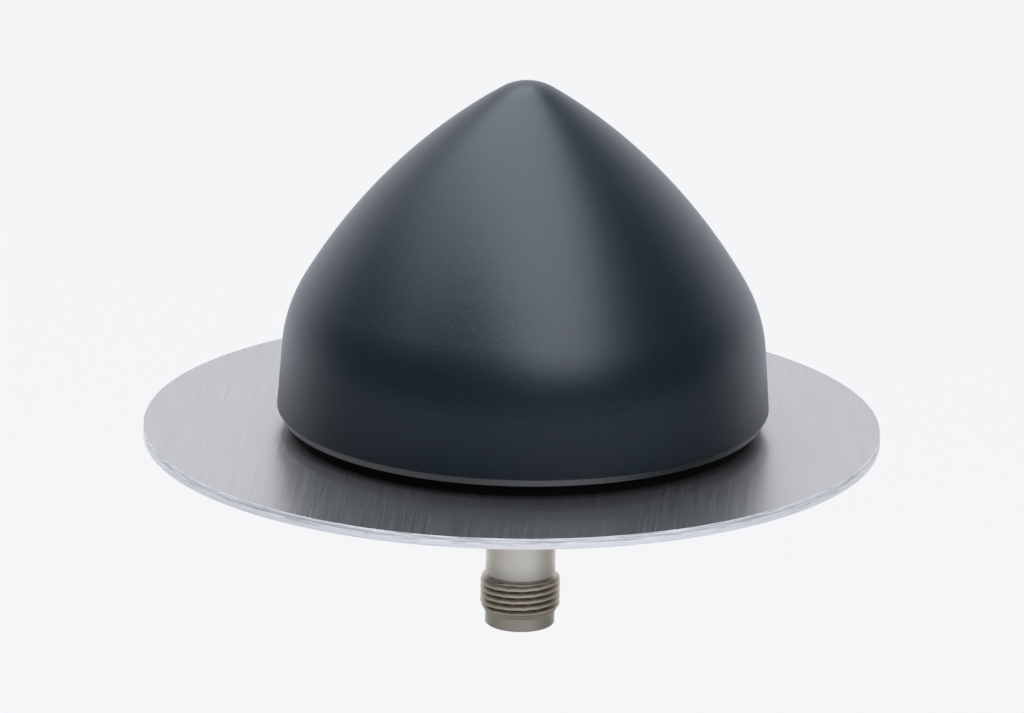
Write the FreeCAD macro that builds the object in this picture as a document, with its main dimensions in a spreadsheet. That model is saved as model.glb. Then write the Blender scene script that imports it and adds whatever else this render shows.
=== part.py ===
import FreeCAD, Part

import math
import os

import Sketcher

# A compact GNSS antenna: a pointed radome on a die-cast base, clamped by a hollow threaded stud to a
# round ground plane, with a coaxial jack under it. Sizes are in millimetres.
# The origin lies on the antenna's axis, in the underside of the ground plane. +Z points to the sky.

document = FreeCAD.newDocument("gnss_antenna")

SIZES = {
    # Ground plane, cut from sheet, with a hole that is wider than the stud
    "plate_diameter": 101.6,
    "plate_thickness": 1.5,
    "plate_hole_clearance": 1.575,
    "plate_stud_gap": 0.075,
    "plate_edge_break": 0.15,
    # Rubber pad between the plate and the base
    "gasket_inset": 1.6,
    "gasket_thickness": 1.75,
    "gasket_bore_clearance": 0.3,
    # Radome: a pointed dome of three tangent arcs on a wall with draft
    "radome_draft": 4.0,
    "radome_wall_height": 8.6,
    "radome_shoulder_radius": 20.2,
    "radome_flank_radius": 82.0,
    "radome_tip_radius": 7.2,
    "radome_height": 46.44,
    "radome_wall": 2.8,
    "radome_edge_round": 0.25,
    # Screw bosses inside the radome, each tied to the wall by a web
    "boss_inset": 1.8,
    "boss_radius": 2.8,
    "boss_roof": 1.5,
    "boss_web_thickness": 2.0,
    "boss_web_bite": 0.6,
    "radome_screw_count": 4,
    # Base casting
    "flange_step": 0.3,
    "flange_thickness": 0.93,
    "flange_undercut": 20.0,
    "spigot_clearance": 0.1,
    "spigot_lead": 0.15,
    "seal_groove_depth": 1.2,
    "seal_groove_width": 1.9,
    "seal_groove_land": 0.8,
    "seal_groove_roof": 0.87,
    "seal_groove_wall": 0.65,
    "coring_count": 8,
    "coring_depth": 1.6,
    "coring_head_wall": 2.6,
    "coring_sink_wall": 0.65,
    "coring_rib": 1.8,
    # Radome screws, up through the base
    "radome_screw_radius": 1.5,
    "radome_screw_length": 9.0,
    "radome_screw_head_radius": 2.75,
    "radome_screw_head_height": 2.0,
    "radome_screw_sink": 2.3,
    "screw_clearance": 0.2,
    "thread_clearance": 0.03,
    "hole_run_out": 0.5,
    # Hollow stud with a hexagonal head that sits in the base
    "stud_radius": 9.525,
    "stud_reach": 11.8,
    "stud_end_chamfer": 1.0,
    "stud_head_ledge": 2.475,
    "stud_head_height": 2.3,
    "stud_head_clearance": 0.05,
    "stud_hole_clearance": 0.15,
    "stud_wall": 3.145,
    "stud_passage_radius": 3.0,
    "stud_seal_depth": 1.0,
    "stud_seal_width": 1.5,
    # Washer and thin nut under the plate
    "washer_width": 6.275,
    "washer_thickness": 1.6,
    "washer_bore_clearance": 0.3,
    "nut_wall": 4.765,
    "nut_thickness": 6.35,
    "nut_chamfer_angle": 30.0,
    # Coaxial jack
    "jack_rear_length": 8.0,
    "jack_rear_chamfer": 0.4,
    "jack_tap_spare": 0.5,
    "jack_flange_ledge": 0.56,
    "jack_flange_thickness": 1.4,
    "jack_neck_length": 7.9,
    "jack_neck_step": 0.685,
    "jack_collar_radius": 5.5,
    "jack_collar_length": 5.6,
    "jack_collar_lead": 0.8,
    "jack_collar_front_lead": 1.1,
    "jack_tip_length": 1.8,
    "jack_tip_step": 0.7,
    "jack_tip_wall": 0.74,
    "jack_edge_break": 0.2,
    "jack_socket_depth": 8.4,
    "jack_seal_width": 1.0,
    "jack_seal_depth": 1.0,
    "seal_corner": 0.3,
    # Insulator and centre contact of the jack
    "insulator_shoulder": 0.66,
    "insulator_nose_step": 1.0,
    "insulator_nose_length": 4.9,
    "contact_radius": 1.05,
    "contact_wall": 0.36,
    "contact_bore_depth": 5.0,
    "contact_recess": 0.2,
    "contact_slot_width": 0.25,
    "contact_slot_length": 3.6,
    "solder_cup_length": 2.0,
    "solder_cup_depth": 2.2,
    # Lead from the jack to the circuit board, in its sleeve
    "lead_radius": 0.45,
    "lead_sleeve_radius": 1.4,
    "lead_clearance": 0.05,
    # Circuit board on the posts of the base
    "board_thickness": 1.6,
    "board_notch_clearance": 0.5,
    "post_count": 4,
    "post_angle": 22.5,
    "post_patch_gap": 6.6,
    "post_inset": 3.4,
    "post_radius": 2.6,
    "post_height": 3.6,
    "post_hole_spare": 1.0,
    "board_screw_radius": 1.25,
    "board_screw_length": 5.6,
    "board_screw_head_radius": 2.25,
    "board_screw_head_height": 1.5,
    "socket_width_share": 0.5,
    "socket_depth_share": 0.55,
    # Lower antenna patch, which sets how wide the board, the base and the radome are
    "lower_patch_side": 36.0,
    "lower_patch_thickness": 4.0,
    "lower_pad_thickness": 0.3,
    "lower_electrode_margin": 3.5,
    # Upper antenna patch
    "upper_patch_side": 25.0,
    "upper_patch_thickness": 4.0,
    "upper_pad_thickness": 0.6,
    "upper_electrode_margin": 2.75,
    "electrode_thickness": 0.1,
    "pad_inset": 1.0,
    # Feed pins, two for each patch
    "lower_feed_offset": 6.5,
    "upper_feed_offset": 3.2,
    "feed_pin_radius": 0.4,
    "feed_head_radius": 0.9,
    "feed_head_height": 0.35,
    "feed_pin_clearance": 0.1,
    "feed_head_clearance": 0.3,
    "feed_tail": 0.6,
    # Shield can under the board
    "can_length": 28.0,
    "can_height": 2.2,
    "can_wall": 0.3,
    "can_near_side": 6.0,
    "can_post_gap": 1.1,
    "can_lid_wall": 0.2,
    "can_lid_skirt": 1.2,
    "can_lid_clearance": 0.05,
    # Parts of the amplifier inside the can
    "filter_side": 3.0,
    "filter_height": 1.1,
    "filter_spacing": 7.0,
    "filter_row": 2.8,
    "filter_count": 3,
    "amplifier_side": 2.0,
    "amplifier_height": 0.8,
    "amplifier_spacing": 7.0,
    "amplifier_count": 2,
    "capacitor_length": 1.0,
    "capacitor_width": 0.5,
    "capacitor_height": 0.5,
    "capacitor_spacing": 2.4,
    "capacitor_row": 3.0,
    "capacitor_count": 9,
}

sizes = document.addObject("Spreadsheet::Sheet", "sizes")
for row, (alias, number) in enumerate(SIZES.items(), start=1):
    sizes.set(f"B{row}", str(number))
    sizes.setAlias(f"B{row}", alias)
document.recompute()

# Heights above the underside of the ground plane, each worked out from the sheet
PLATE_TOP = "sizes.plate_thickness"
BASE_UNDERSIDE = f"({PLATE_TOP} + sizes.gasket_thickness)"
RADOME_RIM = f"({BASE_UNDERSIDE} + sizes.flange_thickness)"
SEAL_GROOVE_LOW = f"({RADOME_RIM} + sizes.seal_groove_land)"
SEAL_GROOVE_HIGH = f"({SEAL_GROOVE_LOW} + sizes.seal_groove_width)"
BASE_TOP = f"({SEAL_GROOVE_HIGH} + sizes.seal_groove_roof)"
HEAD_SEAT = f"({BASE_TOP} - sizes.stud_head_height)"
BOARD_UNDERSIDE = f"({BASE_TOP} + sizes.post_height)"
BOARD_TOP = f"({BOARD_UNDERSIDE} + sizes.board_thickness)"
LOWER_PATCH_BASE = f"({BOARD_TOP} + sizes.lower_pad_thickness)"
LOWER_PATCH_TOP = f"({LOWER_PATCH_BASE} + sizes.lower_patch_thickness)"
LOWER_ELECTRODE_TOP = f"({LOWER_PATCH_TOP} + sizes.electrode_thickness)"
UPPER_PATCH_BASE = f"({LOWER_ELECTRODE_TOP} + sizes.upper_pad_thickness)"
UPPER_PATCH_TOP = f"({UPPER_PATCH_BASE} + sizes.upper_patch_thickness)"
UPPER_ELECTRODE_TOP = f"({UPPER_PATCH_TOP} + sizes.electrode_thickness)"
SCREW_SEAT = f"({BASE_UNDERSIDE} + sizes.radome_screw_sink)"
SCREW_TIP = f"({SCREW_SEAT} + sizes.radome_screw_length)"
PILOT_END = f"({SCREW_TIP} + sizes.hole_run_out)"
BOSS_TOP = f"({PILOT_END} + sizes.boss_roof)"
STUD_END = "(-sizes.stud_reach)"
JACK_SEAL_FLOOR = f"({STUD_END} + sizes.jack_seal_depth)"
JACK_REAR = f"({STUD_END} + sizes.jack_rear_length)"
JACK_COLLAR_START = f"({STUD_END} - sizes.jack_neck_length)"
JACK_COLLAR_END = f"({JACK_COLLAR_START} - sizes.jack_collar_length)"
JACK_TIP = f"({JACK_COLLAR_END} - sizes.jack_tip_length)"
JACK_SOCKET_FLOOR = f"({JACK_TIP} + sizes.jack_socket_depth)"
INSULATOR_NOSE = f"({JACK_SOCKET_FLOOR} - sizes.insulator_nose_length)"
CONTACT_FRONT = f"({INSULATOR_NOSE} + sizes.contact_recess)"
SOLDER_CUP_TOP = f"({JACK_REAR} + sizes.solder_cup_length)"

# The housing is laid out from the inside: posts round the lower patch, then board, screws, seal and wall
POST_CIRCLE = "(sizes.lower_patch_side / 2 + sizes.post_patch_gap)"
BOARD_RADIUS = f"({POST_CIRCLE} + sizes.post_inset)"
BOSS_CIRCLE = f"({BOARD_RADIUS} - sizes.boss_inset)"
SINK_RADIUS = "(sizes.radome_screw_head_radius + sizes.screw_clearance)"
SEAL_GROOVE_FLOOR = f"({BOSS_CIRCLE} + {SINK_RADIUS} + sizes.seal_groove_wall)"
SPIGOT_RADIUS = f"({SEAL_GROOVE_FLOOR} + sizes.seal_groove_depth)"
RADOME_REGISTER = f"({SPIGOT_RADIUS} + sizes.spigot_clearance)"
RADOME_RADIUS = f"({RADOME_REGISTER} + sizes.radome_wall)"
FLANGE_RADIUS = f"({RADOME_RADIUS} - sizes.flange_step)"
FLANGE_FOOT_RADIUS = f"({FLANGE_RADIUS} - sizes.flange_thickness * tan(sizes.flange_undercut))"

# The stud sets the size of what is on it, and of the jack's rear thread inside it
STUD_HOLE = "(sizes.stud_radius + sizes.stud_hole_clearance)"
STUD_HEAD_FLATS = "(2 * (sizes.stud_radius + sizes.stud_head_ledge))"
HEAD_POCKET_FLATS = f"({STUD_HEAD_FLATS} + 2 * sizes.stud_head_clearance)"
PLATE_OFFSET = "(sizes.plate_hole_clearance - sizes.plate_stud_gap)"
NUT_FLATS = "(2 * (sizes.stud_radius + sizes.nut_wall))"
STUD_BORE = "(sizes.stud_radius - sizes.stud_wall)"
JACK_REAR_RADIUS = f"({STUD_BORE} - sizes.thread_clearance)"
JACK_SEAL_OUTER = f"({STUD_BORE} + sizes.jack_seal_width)"
JACK_FLANGE_FLATS = f"(2 * ({JACK_SEAL_OUTER} + sizes.jack_flange_ledge))"

# The threaded collar sets the rest of the jack
JACK_NECK_RADIUS = "(sizes.jack_collar_radius - sizes.jack_neck_step)"
JACK_TIP_RADIUS = "(sizes.jack_collar_radius - sizes.jack_tip_step)"
JACK_SOCKET_RADIUS = f"({JACK_TIP_RADIUS} - sizes.jack_tip_wall)"
INSULATOR_RADIUS = f"({JACK_SOCKET_RADIUS} - sizes.insulator_shoulder)"

# The shield can lies between the lead and the posts
CAN_FAR_SIDE = f"({POST_CIRCLE} * cos(sizes.post_angle) - sizes.post_radius - sizes.can_post_gap)"
CAN_CENTRE = f"(({CAN_FAR_SIDE} + sizes.can_near_side) / 2)"

# Where the pins go through the board, as (x, y)
LOWER_FEEDS = (("-sizes.lower_feed_offset", "0"), ("0", "-sizes.lower_feed_offset"))
UPPER_FEEDS = (("sizes.upper_feed_offset", "0"), ("0", "sizes.upper_feed_offset"))

FULL_TURN = 360
HEXAGON = 6
subparts = []


def worth(expression):
    """The number that an expression over the sheet gives."""
    return float(sizes.evalExpression(expression))


def keep(item, name):
    """Count an object as a finished sub-part under the name of its file."""
    item.Label = name
    subparts.append(item)
    return item


def new_body(name):
    return keep(document.addObject("PartDesign::Body", f"{name}_body"), name)


def add_sketch(body, name, role="XY_Plane", height="0"):
    """A sketch on one of the body's own planes, raised along that plane's normal."""
    sketch = body.newObject("Sketcher::SketchObject", name)
    plane = next(item for item in body.Origin.OriginFeatures if item.Role == role)
    sketch.AttachmentSupport = [(plane, "")]
    sketch.MapMode = "FlatFace"
    if height != "0":
        sketch.setExpression("AttachmentOffset.Base.z", height)
    return sketch


def dimension(sketch, kind, where, size, start):
    """One constraint of the sketch, tied to the sheet."""
    index = sketch.addConstraint(Sketcher.Constraint(kind, *where, start))
    sketch.renameConstraint(index, f"size{index}")
    sketch.setExpression(f"Constraints.size{index}", size)


def hold_point(sketch, edge, end, x, y):
    """Fix one point of an edge by its two distances from the origin."""
    for kind, size, axis in (("DistanceX", x, -2), ("DistanceY", y, -1)):
        if size == "0":
            sketch.addConstraint(Sketcher.Constraint("PointOnObject", edge, end, axis))
        else:
            dimension(sketch, kind, (-1, 1, edge, end), size, worth(size))


def draw_outline(sketch, points):
    """A closed outline of straight edges through points given as expressions."""
    corners = [FreeCAD.Vector(worth(x), worth(y), 0) for x, y in points]
    edges = [
        sketch.addGeometry(Part.LineSegment(corner, corners[(index + 1) % len(corners)]), False)
        for index, corner in enumerate(corners)
    ]
    for index, edge in enumerate(edges):
        follower = edges[(index + 1) % len(edges)]
        sketch.addConstraint(Sketcher.Constraint("Coincident", edge, 2, follower, 1))
        hold_point(sketch, edge, 1, *points[index])


def draw_circle(sketch, radius, x="0", y="0"):
    centre = FreeCAD.Vector(worth(x), worth(y), 0)
    edge = sketch.addGeometry(Part.Circle(centre, FreeCAD.Vector(0, 0, 1), worth(radius)), False)
    hold_point(sketch, edge, 3, x, y)
    dimension(sketch, "Radius", (edge,), radius, worth(radius))


def draw_hexagon(sketch, flats):
    """A hexagon round the axis, by its size across flats, with a corner on the X axis."""
    corner = f"{flats} / sqrt(3)"
    turns = [side * FULL_TURN / HEXAGON for side in range(HEXAGON)]
    points = [(f"{corner} * cos({turn})", f"{corner} * sin({turn})") for turn in turns]
    points[0] = (corner, "0")
    points[HEXAGON // 2] = (f"-{corner}", "0")
    draw_outline(sketch, points)


def revolve(body, name, points, cut=False):
    """Turn an outline of (radius, height) points about the axis, to add it or to cut it."""
    sketch = add_sketch(body, f"{name}_outline", "XZ_Plane")
    draw_outline(sketch, points)
    return revolve_sketch(body, name, sketch, cut)


def revolve_sketch(body, name, sketch, cut=False):
    feature = body.newObject("PartDesign::Groove" if cut else "PartDesign::Revolution", name)
    feature.Profile = sketch
    feature.ReferenceAxis = (sketch, ["V_Axis"])
    feature.Angle = FULL_TURN
    return feature


def pad(body, name, sketch, length):
    """Add material above a sketch."""
    feature = body.newObject("PartDesign::Pad", name)
    feature.Profile = sketch
    feature.setExpression("Length", length)
    return feature


def pocket(body, name, sketch, depth, upward=False):
    """Take material away below a sketch, or above it."""
    feature = body.newObject("PartDesign::Pocket", name)
    feature.Profile = sketch
    feature.setExpression("Length", depth)
    feature.Reversed = upward
    return feature


def repeat_round(body, name, features, sketch, count, angle=FULL_TURN):
    """Repeat features evenly about the axis."""
    pattern = body.newObject("PartDesign::PolarPattern", name)
    pattern.Originals = features
    pattern.Axis = (sketch, ["N_Axis"])
    pattern.Angle = angle
    pattern.setExpression("Occurrences", count)
    body.Tip = pattern
    return pattern


def bar(name, radius, length, height, x="0", y="0"):
    """A plain round bar that stands upright."""
    item = document.addObject("Part::Cylinder", name)
    item.setExpression("Radius", radius)
    item.setExpression("Height", length)
    set_place(item, x, y, height)
    return item


def block(name, length, width, tall, x, y, z):
    """A plain block, centred on x and y, with its underside at z."""
    item = document.addObject("Part::Box", name)
    item.setExpression("Length", length)
    item.setExpression("Width", width)
    item.setExpression("Height", tall)
    set_place(item, f"({x}) - ({length}) / 2", f"({y}) - ({width}) / 2", z)
    return item


def set_place(item, x, y, z):
    for axis, size in (("x", x), ("y", y), ("z", z)):
        item.setExpression(f"Placement.Base.{axis}", size)


def join(name, items):
    item = document.addObject("Part::MultiFuse", name)
    item.Shapes = items
    return item


def take_away(name, base, tool):
    item = document.addObject("Part::Cut", name)
    item.Base = base
    item.Tool = tool
    return item


def group(name, items):
    """Several separate solids in one sub-part."""
    item = document.addObject("Part::Compound", f"{name}_group")
    item.Links = items
    return keep(item, name)


def ring(name, inner, outer, low, high):
    """A flat ring about the axis."""
    body = new_body(name)
    revolve(body, f"{name}_ring", [(inner, low), (outer, low), (outer, high), (inner, high)])
    return body


def seal_ring(name, inner, outer, low, high):
    """A rubber ring squeezed into its groove, with its corners rounded off."""
    corner = "sizes.seal_corner"
    body = new_body(name)
    outline = [
        (f"{inner} + {corner}", low),
        (f"{outer} - {corner}", low),
        (outer, f"{low} + {corner}"),
        (outer, f"{high} - {corner}"),
        (f"{outer} - {corner}", high),
        (f"{inner} + {corner}", high),
        (inner, f"{high} - {corner}"),
        (inner, f"{low} + {corner}"),
    ]
    revolve(body, f"{name}_section", outline)
    return body


def socket_screw(name, size, seat, tip, head_up, x, y):
    """A cap screw with a hexagonal socket. The sheet's names for it start with size."""
    head_height = f"sizes.{size}_head_height"
    head_radius = f"sizes.{size}_head_radius"
    head_base = seat if head_up else f"{seat} - {head_height}"
    shank_base = tip if head_up else seat
    shank = bar(f"{name}_shank", f"sizes.{size}_radius", f"abs({seat} - {tip})", shank_base, x, y)
    head = bar(f"{name}_head", head_radius, head_height, head_base, x, y)
    socket = document.addObject("Part::Prism", f"{name}_socket")
    socket.Polygon = HEXAGON
    socket_depth = f"{head_height} * sizes.socket_depth_share"
    socket.setExpression("Circumradius", f"{head_radius} * sizes.socket_width_share")
    socket.setExpression("Height", socket_depth)
    socket_base = f"{head_base} + {head_height} - {socket_depth}" if head_up else head_base
    set_place(socket, x, y, socket_base)
    return take_away(name, join(f"{name}_blank", [shank, head]), socket)


def on_circle(radius, angle):
    return f"{radius} * cos({angle})", f"{radius} * sin({angle})"


def make_ground_plane():
    """Sheet disc with broken edges. Its hole only clears the stud, so it sits off the axis."""
    body = new_body("ground_plane")
    edge = "sizes.plate_diameter / 2"
    hole = "sizes.stud_radius + sizes.plate_hole_clearance"
    crack = "sizes.plate_edge_break"
    outline = [
        (hole, "0"),
        (f"{edge} - {crack}", "0"),
        (edge, crack),
        (edge, f"{PLATE_TOP} - {crack}"),
        (f"{edge} - {crack}", PLATE_TOP),
        (hole, PLATE_TOP),
    ]
    revolve(body, "plate_disc", outline)
    body.setExpression("Placement.Base.x", f"-{PLATE_OFFSET}")


def dome_sizes(inset):
    """The sizes of the dome's half outline, or of the same outline set in by a wall."""
    lean = "sizes.radome_draft"
    return {
        "rim": f"{RADOME_RADIUS} - {inset} / cos({lean})",
        "wall_top": f"{RADOME_RIM} + sizes.radome_wall_height - {inset} * sin({lean})",
        "apex": f"{RADOME_RIM} + sizes.radome_height - {inset}",
        "shoulder": f"sizes.radome_shoulder_radius - {inset}",
        "flank": f"sizes.radome_flank_radius - {inset}",
        "tip": f"sizes.radome_tip_radius - {inset}",
    }


def dome_points(size):
    """Corners and arc centres of the dome's half outline, for the sketch to start from."""
    rim = FreeCAD.Vector(worth(size["rim"]), worth(RADOME_RIM), 0)
    draft = math.radians(worth("sizes.radome_draft"))
    rise = worth(size["wall_top"]) - rim.y
    wall_top = rim + FreeCAD.Vector(-rise * math.tan(draft), rise, 0)
    shoulder, flank, tip = (worth(size[part]) for part in ("shoulder", "flank", "tip"))
    apex = FreeCAD.Vector(0, worth(size["apex"]), 0)
    shoulder_centre = wall_top - FreeCAD.Vector(math.cos(draft), math.sin(draft), 0) * shoulder
    tip_centre = apex - FreeCAD.Vector(0, tip, 0)
    # The flank's centre lies on two circles, round the tip's centre and round the shoulder's centre
    across = shoulder_centre - tip_centre
    span = across.Length
    along = ((flank - tip) ** 2 - (flank - shoulder) ** 2 + span**2) / (2 * span)
    aside = math.sqrt((flank - tip) ** 2 - along**2)
    forward = across / span
    flank_centre = tip_centre + forward * along + FreeCAD.Vector(forward.y, -forward.x, 0) * aside
    flank_low = shoulder_centre + (shoulder_centre - flank_centre).normalize() * shoulder
    flank_high = tip_centre + (tip_centre - flank_centre).normalize() * tip
    arcs = (
        ("shoulder", shoulder_centre, wall_top, flank_low),
        ("flank", flank_centre, flank_low, flank_high),
        ("tip", tip_centre, flank_high, apex),
    )
    return rim, wall_top, apex, arcs


def arc_between(centre, start, end):
    """An arc that runs anticlockwise from start to end."""
    circle = Part.Circle(centre, FreeCAD.Vector(0, 0, 1), (start - centre).Length)
    first, last = (math.atan2(point.y - centre.y, point.x - centre.x) for point in (start, end))
    return Part.ArcOfCircle(circle, first, last)


def draw_dome(sketch, inset):
    """Half the dome: rim, wall with draft, shoulder arc, flank arc and tip arc, all tangent."""
    size = dome_sizes(inset)
    rim, wall_top, apex, arc_places = dome_points(size)
    foot = FreeCAD.Vector(0, rim.y, 0)
    rim_edge = sketch.addGeometry(Part.LineSegment(foot, rim), False)
    wall = sketch.addGeometry(Part.LineSegment(rim, wall_top), False)
    arcs = []
    for name, centre, start, end in arc_places:
        arc = sketch.addGeometry(arc_between(centre, start, end), False)
        arcs.append(arc)
        dimension(sketch, "Radius", (arc,), size[name], worth(size[name]))
    axis_edge = sketch.addGeometry(Part.LineSegment(apex, foot), False)
    sketch.addConstraint(Sketcher.Constraint("Coincident", rim_edge, 2, wall, 1))
    for lower, upper in zip([wall] + arcs[:-1], arcs):
        sketch.addConstraint(Sketcher.Constraint("Tangent", lower, 2, upper, 1))
    sketch.addConstraint(Sketcher.Constraint("Coincident", arcs[-1], 2, axis_edge, 1))
    sketch.addConstraint(Sketcher.Constraint("Coincident", axis_edge, 2, rim_edge, 1))
    sketch.addConstraint(Sketcher.Constraint("PointOnObject", arcs[-1], 3, -2))
    hold_point(sketch, rim_edge, 1, "0", RADOME_RIM)
    hold_point(sketch, rim_edge, 2, size["rim"], RADOME_RIM)
    hold_point(sketch, axis_edge, 1, "0", size["apex"])
    dimension(sketch, "DistanceY", (-1, 1, wall, 2), size["wall_top"], worth(size["wall_top"]))
    lean = "90 + sizes.radome_draft"
    dimension(sketch, "Angle", (wall,), lean, math.radians(worth(lean)))


def rim_edge_name(shape):
    """The name of the lowest and widest edge of the dome."""
    numbered = list(enumerate(shape.Edges, start=1))
    index, _ = min(numbered, key=lambda pair: (round(pair[1].BoundBox.ZMax, 4), -pair[1].Length))
    return f"Edge{index}"


def make_radome():
    """Moulded shell. Bosses inside take the screws, and a register fits over the base's spigot."""
    body = new_body("radome")
    outline = add_sketch(body, "dome_outline", "XZ_Plane")
    draw_dome(outline, "0")
    dome = revolve_sketch(body, "dome", outline)
    document.recompute()
    rim_round = body.newObject("PartDesign::Fillet", "rim_round")
    rim_round.Base = (dome, [rim_edge_name(dome.Shape)])
    rim_round.setExpression("Radius", "sizes.radome_edge_round")
    hollow_outline = add_sketch(body, "hollow_outline", "XZ_Plane")
    draw_dome(hollow_outline, "sizes.radome_wall")
    revolve_sketch(body, "hollow", hollow_outline, cut=True)
    # A bevel on the inner edge leads the shell over the base's spigot
    register_top = f"{BASE_TOP} + sizes.spigot_clearance"
    lead = f"({RADOME_REGISTER} + sizes.spigot_lead)"
    register = [
        ("0", RADOME_RIM),
        (lead, RADOME_RIM),
        (RADOME_REGISTER, f"{RADOME_RIM} + sizes.spigot_lead"),
        (RADOME_REGISTER, register_top),
        ("0", register_top),
    ]
    revolve(body, "register", register, cut=True)
    boss_sketch = add_sketch(body, "boss_circle", height=BASE_TOP)
    draw_circle(boss_sketch, "sizes.boss_radius", BOSS_CIRCLE)
    boss = pad(body, "boss", boss_sketch, f"{BOSS_TOP} - {BASE_TOP}")
    # The web starts above the spigot and ends inside the wall
    web_sketch = add_sketch(body, "web_outline", height=register_top)
    web_end = f"{RADOME_REGISTER} + sizes.boss_web_bite"
    half_web = "sizes.boss_web_thickness / 2"
    web_outline = [
        (BOSS_CIRCLE, f"-{half_web}"),
        (web_end, f"-{half_web}"),
        (web_end, half_web),
        (BOSS_CIRCLE, half_web),
    ]
    draw_outline(web_sketch, web_outline)
    web = pad(body, "web", web_sketch, f"{BOSS_TOP} - ({register_top})")
    pilot_sketch = add_sketch(body, "pilot_circle", height=BASE_TOP)
    draw_circle(pilot_sketch, "sizes.radome_screw_radius + sizes.thread_clearance", BOSS_CIRCLE)
    repeat_round(body, "bosses", [boss, web], boss_sketch, "sizes.radome_screw_count")
    hole = pocket(body, "pilot_hole", pilot_sketch, f"{PILOT_END} - {BASE_TOP}", upward=True)
    repeat_round(body, "pilot_holes", [hole], pilot_sketch, "sizes.radome_screw_count")


def make_radome_screws():
    count = int(worth("sizes.radome_screw_count"))
    screws = []
    for index in range(count):
        place = on_circle(BOSS_CIRCLE, f"{index} * {FULL_TURN} / sizes.radome_screw_count")
        name = f"radome_screw_{index + 1}"
        screws.append(socket_screw(name, "radome_screw", SCREW_SEAT, SCREW_TIP, False, *place))
    group("radome_screws", screws)


def make_base():
    """Casting: undercut flange, spigot with a seal groove, board posts, pocket for the stud's head."""
    body = new_body("base_casting")
    outline = [
        (STUD_HOLE, BASE_UNDERSIDE),
        (FLANGE_FOOT_RADIUS, BASE_UNDERSIDE),
        (FLANGE_RADIUS, RADOME_RIM),
        (SPIGOT_RADIUS, RADOME_RIM),
        (SPIGOT_RADIUS, SEAL_GROOVE_LOW),
        (SEAL_GROOVE_FLOOR, SEAL_GROOVE_LOW),
        (SEAL_GROOVE_FLOOR, SEAL_GROOVE_HIGH),
        (SPIGOT_RADIUS, SEAL_GROOVE_HIGH),
        (SPIGOT_RADIUS, f"{BASE_TOP} - sizes.spigot_lead"),
        (f"{SPIGOT_RADIUS} - sizes.spigot_lead", BASE_TOP),
        (STUD_HOLE, BASE_TOP),
    ]
    revolve(body, "base_turned", outline)
    head_sketch = add_sketch(body, "head_pocket_outline", height=BASE_TOP)
    draw_hexagon(head_sketch, HEAD_POCKET_FLATS)
    pocket(body, "head_pocket", head_sketch, "sizes.stud_head_height")
    seal_outer = f"({STUD_HOLE} + sizes.stud_seal_width)"
    seal_floor = f"({HEAD_SEAT} - sizes.stud_seal_depth)"
    inside = "sizes.stud_radius"
    groove = [(inside, seal_floor), (seal_outer, seal_floor), (seal_outer, HEAD_SEAT), (inside, HEAD_SEAT)]
    revolve(body, "stud_seal_groove", groove, cut=True)
    # Trapezoid pockets in the underside leave ribs between them
    coring_sketch = add_sketch(body, "coring_outline", height=BASE_UNDERSIDE)
    inner = f"({HEAD_POCKET_FLATS} / sqrt(3) + sizes.coring_head_wall)"
    outer = f"({BOSS_CIRCLE} - {SINK_RADIUS} - sizes.coring_sink_wall)"
    half_inner = f"({inner} * tan(180 / sizes.coring_count) - sizes.coring_rib / 2)"
    half_outer = f"({outer} * tan(180 / sizes.coring_count) - sizes.coring_rib / 2)"
    coring_outline = [
        (inner, f"-{half_inner}"),
        (outer, f"-{half_outer}"),
        (outer, half_outer),
        (inner, half_inner),
    ]
    draw_outline(coring_sketch, coring_outline)
    coring = pocket(body, "coring", coring_sketch, "sizes.coring_depth", upward=True)
    repeat_round(body, "corings", [coring], coring_sketch, "sizes.coring_count")
    # Counterbored holes for the radome's screws
    sink_sketch = add_sketch(body, "sink_circle", height=BASE_UNDERSIDE)
    draw_circle(sink_sketch, SINK_RADIUS, BOSS_CIRCLE)
    sink = pocket(body, "sink", sink_sketch, "sizes.radome_screw_sink", upward=True)
    hole_sketch = add_sketch(body, "screw_hole_circle", height=BASE_UNDERSIDE)
    draw_circle(hole_sketch, "sizes.radome_screw_radius + sizes.screw_clearance", BOSS_CIRCLE)
    hole = pocket(body, "screw_hole", hole_sketch, f"{BASE_TOP} - {BASE_UNDERSIDE}", upward=True)
    repeat_round(body, "screw_holes", [sink, hole], sink_sketch, "sizes.radome_screw_count")
    # Posts with tapped holes carry the circuit board
    post_place = on_circle(POST_CIRCLE, "sizes.post_angle")
    post_sketch = add_sketch(body, "post_circle", height=BASE_TOP)
    draw_circle(post_sketch, "sizes.post_radius", *post_place)
    post = pad(body, "post", post_sketch, "sizes.post_height")
    repeat_round(body, "posts", [post], post_sketch, "sizes.post_count")
    tapped_sketch = add_sketch(body, "tapped_circle", height=BOARD_UNDERSIDE)
    draw_circle(tapped_sketch, "sizes.board_screw_radius + sizes.thread_clearance", *post_place)
    tapped_depth = "sizes.board_screw_length - sizes.board_thickness + sizes.post_hole_spare"
    tapped = pocket(body, "tapped_hole", tapped_sketch, tapped_depth)
    repeat_round(body, "tapped_holes", [tapped], tapped_sketch, "sizes.post_count")


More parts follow.
